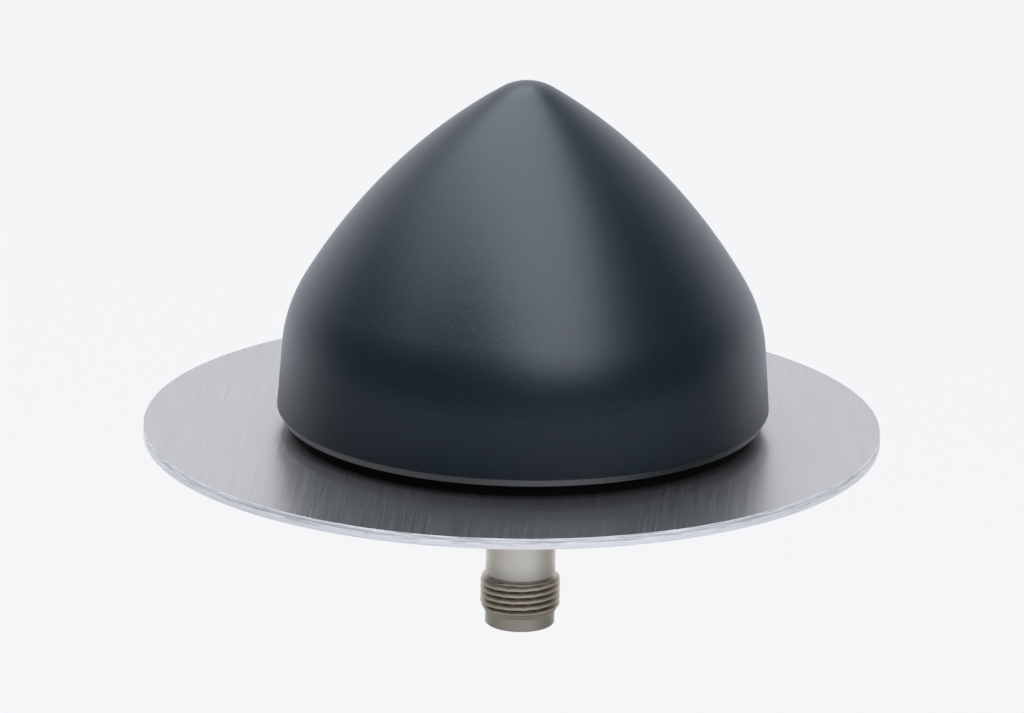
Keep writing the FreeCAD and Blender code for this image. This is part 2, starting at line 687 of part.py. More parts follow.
def make_stud():
    """Hollow threaded stud. Its hexagonal head is held in the base, and its end takes the jack."""
    body = new_body("mounting_stud")
    shank = "sizes.stud_radius"
    tapped_top = f"{JACK_REAR} + sizes.jack_tap_spare"
    outline = [
        ("sizes.stud_passage_radius", tapped_top),
        (STUD_BORE, tapped_top),
        (STUD_BORE, JACK_SEAL_FLOOR),
        (JACK_SEAL_OUTER, JACK_SEAL_FLOOR),
        (JACK_SEAL_OUTER, STUD_END),
        (f"{shank} - sizes.stud_end_chamfer", STUD_END),
        (shank, f"{STUD_END} + sizes.stud_end_chamfer"),
        (shank, BASE_TOP),
        ("sizes.stud_passage_radius", BASE_TOP),
    ]
    revolve(body, "stud_turned", outline)
    head_sketch = add_sketch(body, "stud_head_outline", height=HEAD_SEAT)
    draw_hexagon(head_sketch, STUD_HEAD_FLATS)
    draw_circle(head_sketch, f"(sizes.stud_radius + {STUD_BORE}) / 2")
    pad(body, "stud_head", head_sketch, "sizes.stud_head_height")


def make_nut():
    """Thin hexagon nut with its corners chamfered on the open side."""
    body = new_body("stud_nut")
    nut_top = "(-sizes.washer_thickness)"
    nut_bottom = f"({nut_top} - sizes.nut_thickness)"
    sketch = add_sketch(body, "nut_outline", height=nut_bottom)
    draw_hexagon(sketch, NUT_FLATS)
    draw_circle(sketch, "sizes.stud_radius + sizes.thread_clearance")
    pad(body, "nut_blank", sketch, "sizes.nut_thickness")
    beyond = f"({NUT_FLATS} / sqrt(3) + sizes.hole_run_out)"
    rise = f"({beyond} - {NUT_FLATS} / 2) * tan(sizes.nut_chamfer_angle)"
    corner_cut = [
        (f"{NUT_FLATS} / 2", nut_bottom),
        (beyond, nut_bottom),
        (beyond, f"{nut_bottom} + {rise}"),
    ]
    revolve(body, "nut_chamfer", corner_cut, cut=True)


def make_jack_shell():
    """Turned jack: rear thread, hexagonal flange, neck, threaded collar and plain front end."""
    body = new_body("tnc_jack_shell")
    crack = "sizes.jack_edge_break"
    outline = [
        (INSULATOR_RADIUS, JACK_REAR),
        (f"{JACK_REAR_RADIUS} - sizes.jack_rear_chamfer", JACK_REAR),
        (JACK_REAR_RADIUS, f"{JACK_REAR} - sizes.jack_rear_chamfer"),
        (JACK_REAR_RADIUS, STUD_END),
        (JACK_NECK_RADIUS, STUD_END),
        (JACK_NECK_RADIUS, JACK_COLLAR_START),
        ("sizes.jack_collar_radius", f"{JACK_COLLAR_START} - sizes.jack_collar_lead"),
        ("sizes.jack_collar_radius", f"{JACK_COLLAR_END} + sizes.jack_collar_front_lead"),
        (JACK_TIP_RADIUS, JACK_COLLAR_END),
        (JACK_TIP_RADIUS, f"{JACK_TIP} + {crack}"),
        (f"{JACK_TIP_RADIUS} - {crack}", JACK_TIP),
        (f"{JACK_SOCKET_RADIUS} + {crack}", JACK_TIP),
        (JACK_SOCKET_RADIUS, f"{JACK_TIP} + {crack}"),
        (JACK_SOCKET_RADIUS, JACK_SOCKET_FLOOR),
        (INSULATOR_RADIUS, JACK_SOCKET_FLOOR),
    ]
    revolve(body, "jack_turned", outline)
    flange_low = f"{STUD_END} - sizes.jack_flange_thickness"
    flange_sketch = add_sketch(body, "jack_flange_outline", height=flange_low)
    draw_hexagon(flange_sketch, JACK_FLANGE_FLATS)
    draw_circle(flange_sketch, f"({JACK_NECK_RADIUS} + {JACK_SOCKET_RADIUS}) / 2")
    pad(body, "jack_flange", flange_sketch, "sizes.jack_flange_thickness")


def make_insulator():
    """Insulator with a nose that stands into the jack's socket."""
    body = new_body("tnc_insulator")
    nose_radius = f"{INSULATOR_RADIUS} - sizes.insulator_nose_step"
    outline = [
        ("sizes.contact_radius", INSULATOR_NOSE),
        (nose_radius, INSULATOR_NOSE),
        (nose_radius, JACK_SOCKET_FLOOR),
        (INSULATOR_RADIUS, JACK_SOCKET_FLOOR),
        (INSULATOR_RADIUS, JACK_REAR),
        ("sizes.contact_radius", JACK_REAR),
    ]
    revolve(body, "insulator_turned", outline)


def make_contact():
    """Slotted socket contact with a solder cup at its rear."""
    body = new_body("tnc_centre_contact")
    bore_end = f"({CONTACT_FRONT} + sizes.contact_bore_depth)"
    cup_floor = f"({SOLDER_CUP_TOP} - sizes.solder_cup_depth)"
    cup = "(sizes.lead_radius + sizes.lead_clearance)"
    bore = "sizes.contact_radius - sizes.contact_wall"
    outline = [
        (bore, CONTACT_FRONT),
        ("sizes.contact_radius", CONTACT_FRONT),
        ("sizes.contact_radius", SOLDER_CUP_TOP),
        (cup, SOLDER_CUP_TOP),
        (cup, cup_floor),
        ("0", cup_floor),
        ("0", bore_end),
        (bore, bore_end),
    ]
    revolve(body, "contact_turned", outline)
    slot_sketch = add_sketch(body, "slot_outline", height=CONTACT_FRONT)
    long_side = "(sizes.contact_radius + sizes.contact_slot_width)"
    short_side = "(sizes.contact_slot_width / 2)"
    slot_outline = [
        (f"-{long_side}", f"-{short_side}"),
        (long_side, f"-{short_side}"),
        (long_side, short_side),
        (f"-{long_side}", short_side),
    ]
    draw_outline(slot_sketch, slot_outline)
    slot = pocket(body, "contact_slot", slot_sketch, "sizes.contact_slot_length", upward=True)
    repeat_round(body, "contact_slots", [slot], slot_sketch, "2", angle=FULL_TURN / 2)


def make_lead():
    """Wire from the solder cup to the top of the board, in an insulating sleeve."""
    cup_floor = f"({SOLDER_CUP_TOP} - sizes.solder_cup_depth)"
    keep(bar("lead_wire", "sizes.lead_radius", f"{BOARD_TOP} - {cup_floor}", cup_floor), "centre_lead")
    bore = "sizes.lead_radius + sizes.lead_clearance"
    ring("lead_sleeve", bore, "sizes.lead_sleeve_radius", SOLDER_CUP_TOP, BOARD_UNDERSIDE)


def make_board():
    """Round board with notches for the radome's bosses and holes for screws, pins and lead."""
    body = new_body("circuit_board")
    sketch = add_sketch(body, "board_outline", height=BOARD_UNDERSIDE)
    draw_circle(sketch, BOARD_RADIUS)
    draw_circle(sketch, "sizes.lead_radius + sizes.lead_clearance")
    for x, y in LOWER_FEEDS + UPPER_FEEDS:
        draw_circle(sketch, "sizes.feed_pin_radius + sizes.lead_clearance", x, y)
    pad(body, "board_blank", sketch, "sizes.board_thickness")
    notch_sketch = add_sketch(body, "notch_circle", height=BOARD_TOP)
    draw_circle(notch_sketch, "sizes.boss_radius + sizes.board_notch_clearance", BOSS_CIRCLE)
    notch = pocket(body, "notch", notch_sketch, "sizes.board_thickness")
    repeat_round(body, "notches", [notch], notch_sketch, "sizes.radome_screw_count")
    hole_sketch = add_sketch(body, "board_screw_circle", height=BOARD_TOP)
    post_place = on_circle(POST_CIRCLE, "sizes.post_angle")
    draw_circle(hole_sketch, "sizes.board_screw_radius + sizes.screw_clearance", *post_place)
    hole = pocket(body, "board_screw_hole", hole_sketch, "sizes.board_thickness")
    repeat_round(body, "board_screw_holes", [hole], hole_sketch, "sizes.post_count")


def make_board_screws():
    tip = f"({BOARD_TOP} - sizes.board_screw_length)"
    screws = []
    for index in range(int(worth("sizes.post_count"))):
        angle = f"(sizes.post_angle + {index} * {FULL_TURN} / sizes.post_count)"
        place = on_circle(POST_CIRCLE, angle)
        screws.append(socket_screw(f"board_screw_{index + 1}", "board_screw", BOARD_TOP, tip, True, *place))
    group("board_screws", screws)


def slab(name, side, base, thickness, holes):
    """A square layer of the patch stack, with round holes given as (places, radius)."""
    body = new_body(name)
    half = f"({side} / 2)"
    sketch = add_sketch(body, f"{name}_outline", height=base)
    draw_outline(sketch, [(f"-{half}", f"-{half}"), (half, f"-{half}"), (half, half), (f"-{half}", half)])
    for places, radius in holes:
        for x, y in places:
            draw_circle(sketch, radius, x, y)
    pad(body, f"{name}_layer", sketch, thickness)


def make_patches():
    """Two ceramic patches, one on the other, each with its pad below and its electrode on top."""
    pin = "sizes.feed_pin_radius"
    loose = "sizes.feed_pin_radius + sizes.feed_pin_clearance"
    wide = "sizes.feed_head_radius + sizes.feed_head_clearance"
    foil = "sizes.electrode_thickness"
    both = LOWER_FEEDS + UPPER_FEEDS
    pad_inset = "2 * sizes.pad_inset"
    lower_pad = (f"(sizes.lower_patch_side - {pad_inset})", BOARD_TOP, "sizes.lower_pad_thickness")
    slab("lower_patch_adhesive", *lower_pad, [(both, loose)])
    lower = ("sizes.lower_patch_side", LOWER_PATCH_BASE, "sizes.lower_patch_thickness")
    slab("lower_patch", *lower, [(both, loose)])
    lower_side = "(sizes.lower_patch_side - 2 * sizes.lower_electrode_margin)"
    lower_holes = [(LOWER_FEEDS, pin), (UPPER_FEEDS, wide)]
    slab("lower_patch_electrode", lower_side, LOWER_PATCH_TOP, foil, lower_holes)
    upper_pad_side = f"(sizes.upper_patch_side - {pad_inset})"
    upper_pad = (upper_pad_side, LOWER_ELECTRODE_TOP, "sizes.upper_pad_thickness")
    slab("upper_patch_adhesive", *upper_pad, [(LOWER_FEEDS, wide), (UPPER_FEEDS, loose)])
    upper = ("sizes.upper_patch_side", UPPER_PATCH_BASE, "sizes.upper_patch_thickness")
    slab("upper_patch", *upper, [(UPPER_FEEDS, loose)])
    upper_side = "(sizes.upper_patch_side - 2 * sizes.upper_electrode_margin)"
    slab("upper_patch_electrode", upper_side, UPPER_PATCH_TOP, foil, [(UPPER_FEEDS, pin)])


def make_feed_pins(name, places, head_base):
    """Pins from an electrode down through the board, with a flat head on the electrode."""
    tail = f"({BOARD_UNDERSIDE} - sizes.feed_tail)"
    pins = []
    for index, (x, y) in enumerate(places, start=1):
        label = f"{name}_{index}"
        shank = bar(f"{label}_shank", "sizes.feed_pin_radius", f"{head_base} - {tail}", tail, x, y)
        head = bar(f"{label}_head", "sizes.feed_head_radius", "sizes.feed_head_height", head_base, x, y)
        pins.append(join(label, [shank, head]))
    group(name, pins)


def make_can():
    """Shield frame soldered to the underside of the board, and the lid that snaps over it."""
    length = "sizes.can_length"
    width = f"({CAN_FAR_SIDE} - sizes.can_near_side)"
    tall = "sizes.can_height"
    low = f"({BOARD_UNDERSIDE} - {tall})"
    outside = block("frame_outside", length, width, tall, "0", CAN_CENTRE, low)
    wall = "2 * sizes.can_wall"
    inside = block("frame_inside", f"{length} - {wall}", f"{width} - {wall}", tall, "0", CAN_CENTRE, low)
    keep(take_away("frame_cut", outside, inside), "shield_frame")
    bore_length = f"({length} + 2 * sizes.can_lid_clearance)"
    bore_width = f"({width} + 2 * sizes.can_lid_clearance)"
    skin = "2 * sizes.can_lid_wall"
    lid_low = f"{low} - sizes.can_lid_wall"
    lid_tall = "sizes.can_lid_wall + sizes.can_lid_skirt"
    lid_size = (f"{bore_length} + {skin}", f"{bore_width} + {skin}", lid_tall)
    lid = block("lid_outside", *lid_size, "0", CAN_CENTRE, lid_low)
    hollow = block("lid_inside", bore_length, bore_width, "sizes.can_lid_skirt", "0", CAN_CENTRE, low)
    keep(take_away("lid_cut", lid, hollow), "shield_lid")


def make_row(name, size, sides, row):
    """A row of like chips on the underside of the board, inside the can."""
    count = f"sizes.{size}_count"
    length, width = (f"sizes.{size}_{side}" for side in sides)
    tall = f"sizes.{size}_height"
    chips = []
    for index in range(int(worth(count))):
        place = f"sizes.{size}_spacing * ({index} - ({count} - 1) / 2)"
        label = f"{size}_{index + 1}"
        chips.append(block(label, length, width, tall, place, row, f"{BOARD_UNDERSIDE} - {tall}"))
    group(name, chips)


def check_document():
    """Stop if any object failed, or any sub-part has no valid shape."""
    document.recompute()
    for item in document.Objects:
        if "Invalid" in item.State or "Error" in item.State:
            raise RuntimeError(f"{item.Name} is {item.State}")
    for item in subparts:
        if item.Shape.isNull() or not item.Shape.isValid() or not item.Shape.Solids:
            raise RuntimeError(f"{item.Label} has no valid solid")


make_ground_plane()
ring("mounting_gasket", "sizes.stud_radius + sizes.gasket_bore_clearance",
     f"{FLANGE_RADIUS} - sizes.gasket_inset", PLATE_TOP, BASE_UNDERSIDE)
make_base()
make_radome()
seal_middle = f"(({SEAL_GROOVE_LOW} + {SEAL_GROOVE_HIGH}) / 2)"
seal_half = "(sizes.seal_groove_width / 2 - sizes.spigot_clearance)"
seal_ring("radome_seal", SEAL_GROOVE_FLOOR, RADOME_REGISTER,
          f"({seal_middle} - {seal_half})", f"({seal_middle} + {seal_half})")
make_radome_screws()
make_stud()
seal_ring("stud_seal", STUD_HOLE, f"({STUD_HOLE} + sizes.stud_seal_width)",
          f"({HEAD_SEAT} - sizes.stud_seal_depth)", HEAD_SEAT)
ring("stud_washer", "sizes.stud_radius + sizes.washer_bore_clearance",
     "sizes.stud_radius + sizes.washer_width", "-sizes.washer_thickness", "0")
make_nut()
make_jack_shell()
seal_ring("jack_seal", STUD_BORE, JACK_SEAL_OUTER, STUD_END, JACK_SEAL_FLOOR)
make_insulator()
make_contact()
make_lead()
make_board()
make_board_screws()
make_patches()
make_feed_pins("lower_feed_pins", LOWER_FEEDS, LOWER_ELECTRODE_TOP)
make_feed_pins("upper_feed_pins", UPPER_FEEDS, UPPER_ELECTRODE_TOP)
make_can()
square = ("side", "side")
make_row("saw_filters", "filter", square, f"{CAN_CENTRE} + sizes.filter_row")
make_row("amplifier_chips", "amplifier", square, CAN_CENTRE)
make_row("chip_capacitors", "capacitor", ("length", "width"), f"{CAN_CENTRE} - sizes.capacitor_row")

check_document()
os.makedirs("parts", exist_ok=True)
for item in subparts:
    item.Shape.exportStep(f"parts/{item.Label}.step")
    print(item.Label, len(item.Shape.Solids), round(item.Shape.Volume, 2))
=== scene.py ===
# %% [markdown]
# A compact GNSS antenna, dressed in Blender.
# The solid model gives the real sizes, in metres, with the antenna's axis on Z and the underside of the
# round plate at zero. This notebook adds what a solid model lacks: finishes, screw threads, the torn edge
# of the plate, the studio and the camera. Each step says what the real thing is before it makes it.

import math

import bmesh
import bpy
from mathutils import Matrix, Vector


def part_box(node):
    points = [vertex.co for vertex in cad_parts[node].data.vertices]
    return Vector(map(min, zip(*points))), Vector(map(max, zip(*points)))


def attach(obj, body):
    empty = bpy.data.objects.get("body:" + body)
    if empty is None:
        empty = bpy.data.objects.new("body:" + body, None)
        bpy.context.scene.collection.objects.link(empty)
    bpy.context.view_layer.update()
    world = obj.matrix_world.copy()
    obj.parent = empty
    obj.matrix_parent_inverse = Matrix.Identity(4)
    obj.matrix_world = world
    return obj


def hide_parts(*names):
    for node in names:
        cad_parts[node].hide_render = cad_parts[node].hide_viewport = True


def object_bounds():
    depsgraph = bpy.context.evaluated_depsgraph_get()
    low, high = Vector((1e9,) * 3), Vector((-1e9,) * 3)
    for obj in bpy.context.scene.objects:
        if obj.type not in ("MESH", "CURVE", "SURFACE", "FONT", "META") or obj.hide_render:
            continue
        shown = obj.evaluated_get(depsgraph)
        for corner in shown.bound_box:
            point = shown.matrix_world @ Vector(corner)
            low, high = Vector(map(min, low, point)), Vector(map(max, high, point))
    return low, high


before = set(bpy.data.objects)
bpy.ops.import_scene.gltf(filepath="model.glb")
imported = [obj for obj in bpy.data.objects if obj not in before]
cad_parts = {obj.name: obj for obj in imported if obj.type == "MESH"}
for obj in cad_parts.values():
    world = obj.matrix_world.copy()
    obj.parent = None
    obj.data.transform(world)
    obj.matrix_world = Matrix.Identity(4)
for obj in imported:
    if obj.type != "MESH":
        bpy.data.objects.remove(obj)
solid_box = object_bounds()
print("solid model has", len(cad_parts), "pieces")

# %% [markdown]
# Blender works in metres and in linear light, but a maker reads sizes in millimetres and picks colours
# as hex codes. Four small functions translate, so that every number below is one that could be measured
# on the real antenna or picked with a colour picker.

# %% Lengths and colours
MM = 0.001


def mm(*lengths):
    """Millimetres to metres, as one number or as a point."""
    return lengths[0] * MM if len(lengths) == 1 else Vector(lengths) * MM


def per_mm(size):
    """The scale of a texture whose grains are this many millimetres wide."""
    return 1 / mm(size)


def linear(code):
    """A colour written as sRGB hex, as the linear numbers that shaders take."""
    parts = [int(code[start:start + 2], 16) / 255 for start in (0, 2, 4)]
    return [part / 12.92 if part <= 0.04045 else ((part + 0.055) / 1.055) ** 2.4 for part in parts] + [1.0]


def dimmed(code, level):
    """The same, made darker or brighter by a factor."""
    return [part * level for part in linear(code)[:3]] + [1.0]


print("mid grey is", round(linear("808080")[0], 3), "in linear light")

# %% [markdown]
# The camera of the photograph is far away behind a long lens, because the plate's front and back edges
# are nearly the same ellipse. Its height comes from how flat that ellipse is, and the picture leans by
# a degree. So the camera is set by distance, height angle, lean and the point that it looks at.

# %% Camera
LOOK_AT = mm(-1.61, 0, 11.33)
CAMERA_DISTANCE = mm(1521)
CAMERA_HEIGHT_ANGLE = math.radians(17.128)
CAMERA_LEAN = math.radians(0.871)
LENS = 388.56

camera_data = bpy.data.cameras.new("photo_camera")
camera_data.lens = LENS
camera_data.clip_end = 100
camera = bpy.data.objects.new("photo_camera", camera_data)
bpy.context.scene.collection.objects.link(camera)
towards_camera = Vector((0, -math.cos(CAMERA_HEIGHT_ANGLE), math.sin(CAMERA_HEIGHT_ANGLE)))
look = towards_camera.to_track_quat("Z", "Y").to_matrix().to_4x4()
stand = Matrix.Translation(LOOK_AT + towards_camera * CAMERA_DISTANCE)
camera.matrix_world = stand @ look @ Matrix.Rotation(CAMERA_LEAN, 4, "Z")
bpy.context.scene.camera = camera
bpy.context.scene.view_settings.view_transform = "Standard"
print("camera stands at", [round(value, 3) for value in camera.matrix_world.translation])

# %% [markdown]
# Every material and every shape tree below is built from nodes, so one small function adds a node. It
# takes the node's settings and its inputs, and each input is either set to a value or linked to another
# node's output. A colour ramp also takes its stops.

# %% One function adds a node
# The Mix node has sockets of the same name for each kind of data. These are the colour ones.
MIX_FIRST, MIX_SECOND, MIX_RESULT = 6, 7, 2


def add_node(tree, kind, inputs=(), stops=(), **settings):
    """Add a node. Inputs are (socket, value) pairs and stops are (position, colour) pairs."""
    node = tree.nodes.new(kind)
    for name, value in settings.items():
        setattr(node, name, value)
    for socket, value in inputs:
        if isinstance(value, bpy.types.NodeSocket):
            tree.links.new(value, node.inputs[socket])
        else:
            node.inputs[socket].default_value = value
    for position, _ in stops[1:-1]:
        node.color_ramp.elements.new(position)
    if stops:
        for element, (position, colour) in zip(node.color_ramp.elements, stops):
            element.position = position
            element.color = colour
    return node


print("add_node is ready")

# %% [markdown]
# A product photograph of this kind is made in a white tent: a pale table, a bright backdrop behind the
# object, softboxes above it, and a dark room behind the camera. The dark room matters most: it is what a
# satin black shape reflects, and it leaves the large softbox as one broad streak. The camera itself sees
# plain pale grey everywhere, through Is Camera Ray, so none of this shows in the background.

# %% World
PALE = "f4f5f7"
BACKDROP_LIGHT = "eff2fb"
ROOM_LIGHT = "d0e2ef"
ROOM_LEVEL = 0.08
BACKDROP_LEVEL = 1.25
# The backdrop fades in by how far a direction points away from the camera
BACKDROP_STARTS = 0.25
BACKDROP_FULL = 0.85

world = bpy.data.worlds.new("white_tent")
world.use_nodes = True
bpy.context.scene.world = world
tree = world.node_tree
tree.nodes.clear()
direction = add_node(tree, "ShaderNodeTexCoord")
axes = add_node(tree, "ShaderNodeSeparateXYZ", [(0, direction.outputs["Generated"])])
towards_backdrop = add_node(tree, "ShaderNodeMapRange", [
    ("Value", axes.outputs["Y"]), ("From Min", BACKDROP_STARTS), ("From Max", BACKDROP_FULL),
], interpolation_type="SMOOTHSTEP")
surroundings = add_node(tree, "ShaderNodeValToRGB", [("Fac", towards_backdrop.outputs["Result"])], stops=[
    (0.0, dimmed(ROOM_LIGHT, ROOM_LEVEL)), (1.0, dimmed(BACKDROP_LIGHT, BACKDROP_LEVEL)),
])
around = add_node(tree, "ShaderNodeBackground", [("Color", surroundings.outputs["Color"]), ("Strength", 1.0)])
plain = add_node(tree, "ShaderNodeBackground", [("Color", linear(PALE)), ("Strength", 1.0)])
path = add_node(tree, "ShaderNodeLightPath")
seen = add_node(tree, "ShaderNodeMath", [
    (0, path.outputs["Is Camera Ray"]), (1, path.outputs["Is Transmission Ray"]),
], operation="MAXIMUM")
mixed = add_node(tree, "ShaderNodeMixShader", [
    (0, seen.outputs[0]), (1, around.outputs[0]), (2, plain.outputs[0]),
])
add_node(tree, "ShaderNodeOutputWorld", [("Surface", mixed.outputs[0])])
print("world: backdrop", BACKDROP_LEVEL, "room", ROOM_LEVEL)

# %% [markdown]
# The table is one wide, flat sheet. It lies so far below the antenna that only a soft shadow reaches it,
# and it reaches so far that its edges are out of the picture.

# %% Table
TABLE_DROP = mm(150)
TABLE_HALF = mm(6000)

table_height = solid_box[0][2] - TABLE_DROP
table_mesh = bpy.data.meshes.new("pale_table")
corners = [(x * TABLE_HALF, y * TABLE_HALF, table_height) for x, y in ((-1, -1), (1, -1), (1, 1), (-1, 1))]
table_mesh.from_pydata(corners, [], [(0, 1, 2, 3)])
table = bpy.data.objects.new("pale_table", table_mesh)
bpy.context.scene.collection.objects.link(table)
print("table lies", round(table_height / MM), "mm from the plate's underside")

# %% [markdown]
# The sheet is matt and white. In a tent it is bright in some places and dark in others, and shiny things
# mirror that: the plate's edge and the foot of the radome mirror its front. So the sheet glows by its
# place along the line from the camera to the backdrop. The camera sees nearly plain grey instead, and the
# small share of real light in it keeps the shadow.

# %% Matt white sheet of the table
TABLE_COLOUR = "a8a9aa"
TABLE_PLAIN_SHARE = 0.96
TABLE_PLAIN_LEVEL = 1.028
# How brightly the sheet glows, by metres from the object towards the backdrop. The dip near the object is
# painted shade.
TABLE_GLOW = (
    (-1.2, 0.10), (-0.8, 0.32), (-0.5, 0.58), (-0.15, 0.10), (0.25, 0.05), (0.5, 0.6), (0.8, 1.15),
)
ROOM_LIGHT_ENDS = 0.3

table_material = bpy.data.materials.new("matt_white_table")
table_material.use_nodes = True
tree = table_material.node_tree
tree.nodes.clear()
lit = add_node(tree, "ShaderNodeBsdfDiffuse", [("Color", linear(TABLE_COLOUR))])
where = add_node(tree, "ShaderNodeTexCoord")
axes = add_node(tree, "ShaderNodeSeparateXYZ", [(0, where.outputs["Object"])])
near, far = TABLE_GLOW[0][0], TABLE_GLOW[-1][0]
along = add_node(tree, "ShaderNodeMapRange", [
    ("Value", axes.outputs["Y"]), ("From Min", near), ("From Max", far),
])
glow_stops = []
for metres, level in TABLE_GLOW:
    light = ROOM_LIGHT if metres < ROOM_LIGHT_ENDS else BACKDROP_LIGHT
    glow_stops.append(((metres - near) / (far - near), dimmed(light, level)))
glow = add_node(tree, "ShaderNodeValToRGB", [("Fac", along.outputs["Result"])], stops=glow_stops)
shine = add_node(tree, "ShaderNodeEmission", [("Color", glow.outputs["Color"])])
sweep = add_node(tree, "ShaderNodeAddShader", [(0, lit.outputs[0]), (1, shine.outputs[0])])
plain = add_node(tree, "ShaderNodeEmission", [("Color", linear(PALE)), ("Strength", TABLE_PLAIN_LEVEL)])
shown = add_node(tree, "ShaderNodeMixShader", [
    (0, TABLE_PLAIN_SHARE), (1, lit.outputs[0]), (2, plain.outputs[0]),
])
path = add_node(tree, "ShaderNodeLightPath")
mixed = add_node(tree, "ShaderNodeMixShader", [
    (0, path.outputs["Is Camera Ray"]), (1, sweep.outputs[0]), (2, shown.outputs[0]),
])
add_node(tree, "ShaderNodeOutputMaterial", [("Surface", mixed.outputs[0])])
table_mesh.materials.append(table_material)
print("made", table_material.name, "with", len(glow_stops), "levels")

# %% [markdown]
# Two softboxes hang over the antenna. Each is a frame with white cloth before a lamp, so it is a flat
# glowing rectangle. The large one is turned a little and makes the broad streak down the radome. The
# small one, above on the left, lifts the left flank. What shows in a reflection is how bright a face is,
# so that is what is chosen here, and the lamp's power is worked out from it and the size.

# %% Softboxes
SOFTBOX_MIDDLE = mm(112, -350, 600)
SOFTBOX_SIZE = (mm(600), mm(1820))
SOFTBOX_TURN = math.radians(24)
SOFTBOX_BRIGHTNESS = 3.25
FILL_MIDDLE = mm(-500, 40, 600)
FILL_SIZE = (mm(520), mm(800))
FILL_BRIGHTNESS = 1.45
DAYLIGHT = "ecf3ff"
# Watts from a square metre of a lamp's face whose brightness is 1
WATTS_PER_SQUARE_METRE = 4


def area_lamp(name, middle, size, turn, brightness):
    """A rectangular lamp that faces down. Its power follows from its size and how bright its face is."""
    data = bpy.data.lights.new(name, "AREA")
    data.shape = "RECTANGLE"
    data.size, data.size_y = size
    data.color = linear(DAYLIGHT)[:3]
    data.energy = WATTS_PER_SQUARE_METRE * brightness * size[0] * size[1]
    lamp = bpy.data.objects.new(name, data)
    lamp.matrix_world = Matrix.Translation(middle) @ Matrix.Rotation(turn, 4, "Z")
    lamp.visible_camera = False
    bpy.context.scene.collection.objects.link(lamp)
    return lamp


softbox = area_lamp("softbox_above", SOFTBOX_MIDDLE, SOFTBOX_SIZE, SOFTBOX_TURN, SOFTBOX_BRIGHTNESS)
fill = area_lamp("fill_above_left", FILL_MIDDLE, FILL_SIZE, 0, FILL_BRIGHTNESS)
print("lamps give", round(softbox.data.energy, 2), "and", round(fill.data.energy, 2), "W")

# %% [markdown]
# Materials come next. Each is named for the real one. All start from the same Principled shader, which
# is physically based: a colour, how metallic it is and how rough it is. Nothing real is even, so each
# finish also has a grain: noise of the size that the real grain has, which shifts the tone and the
# roughness a little and raises a bump that is too small to model.

# %% How a material starts
def start_material(name, colour, roughness, metallic=0.0, **more):
    """A material with a Principled shader. Names in more are sockets, written with underscores."""
    material = bpy.data.materials.new(name)
    material.use_nodes = True
    tree = material.node_tree
    tree.nodes.clear()
    inputs = [("Base Color", linear(colour)), ("Roughness", roughness), ("Metallic", metallic)]
    inputs += [(socket.replace("_", " "), value) for socket, value in more.items()]
    shader = add_node(tree, "ShaderNodeBsdfPrincipled", inputs)
    add_node(tree, "ShaderNodeOutputMaterial", [("Surface", shader.outputs[0])])
    return material, tree, shader


def grain_on_object(tree, size, detail=2.0, stretch=(1, 1, 1)):
    """Noise fixed to the object, with grains this many millimetres wide, stretched along its axes."""
    where = add_node(tree, "ShaderNodeTexCoord")
    mapped = add_node(tree, "ShaderNodeMapping", [
        ("Vector", where.outputs["Object"]), ("Scale", [1 / part for part in stretch]),
    ])
    noise = add_node(tree, "ShaderNodeTexNoise", [
        ("Vector", mapped.outputs[0]), ("Scale", per_mm(size)), ("Detail", detail),
    ])
    return noise.outputs["Fac"]


def show_grain(tree, shader, grain, tones=None, roughness=None, height=None):
    """Let a grain mix two close tones, swing the roughness between two values and raise a bump."""
    if tones:
        mix = add_node(tree, "ShaderNodeMix", [
            (0, grain), (MIX_FIRST, linear(tones[0])), (MIX_SECOND, linear(tones[1])),
        ], data_type="RGBA")
        tree.links.new(mix.outputs[MIX_RESULT], shader.inputs["Base Color"])
    if roughness:
        swing = add_node(tree, "ShaderNodeMapRange", [
            ("Value", grain), ("To Min", roughness[0]), ("To Max", roughness[1]),
        ])
        tree.links.new(swing.outputs["Result"], shader.inputs["Roughness"])
    if height:
        bump = add_node(tree, "ShaderNodeBump", [("Height", grain), ("Distance", mm(height))])
        tree.links.new(bump.outputs[0], shader.inputs["Normal"])


print("start_material, grain_on_object and show_grain are ready")

# %% [markdown]
# The radome is moulded in ASA, a tough plastic for outdoors, in dark slate. The mould was etched, which
# leaves a fine pebble texture. To the eye it breaks the gloss into a satin sheen, with a faint sparkle
# where the light fades. Geometry can't hold so many pebbles, so noise raises a bump. Real ones are about
# a tenth of a millimetre wide, too fine to show here, so the noise is drawn about twice as coarse. The
# dips hold a darker tone than the crests, as painted shade.

# %% Etched ASA, dark slate
PEBBLE = 0.22
PEBBLE_HEIGHT = 0.018

asa, tree, shader = start_material("etched_asa_slate", "0e171f", 0.38, IOR=1.52)
pebbles = grain_on_object(tree, PEBBLE, detail=3.0)
show_grain(tree, shader, pebbles, tones=("000409", "12232d"), height=PEBBLE_HEIGHT)
print("made", asa.name)

# %% [markdown]
# The ground plane is cut from brushed aluminium sheet. Brushing leaves fine parallel scratches. Light
# spreads across them and stays sharp along them, so the reflection of the radome has soft sides but a
# clear outline below. The shader's anisotropy does that, along the U direction of the UV map. Real
# scratches are a few hundredths of a millimetre wide, too fine to show, so the noise is drawn coarser,
# and stretched about seventy times longer than wide. A picture of scratches could be laid on instead,
# but noise keeps its real size and never repeats.

# %% Brushed aluminium sheet
BRUSH_WIDTH = 0.28
BRUSH_LENGTH = 20.0
SCRATCH_DEPTH = 0.001
FILM_WEIGHTS = (0.15, 1.65)

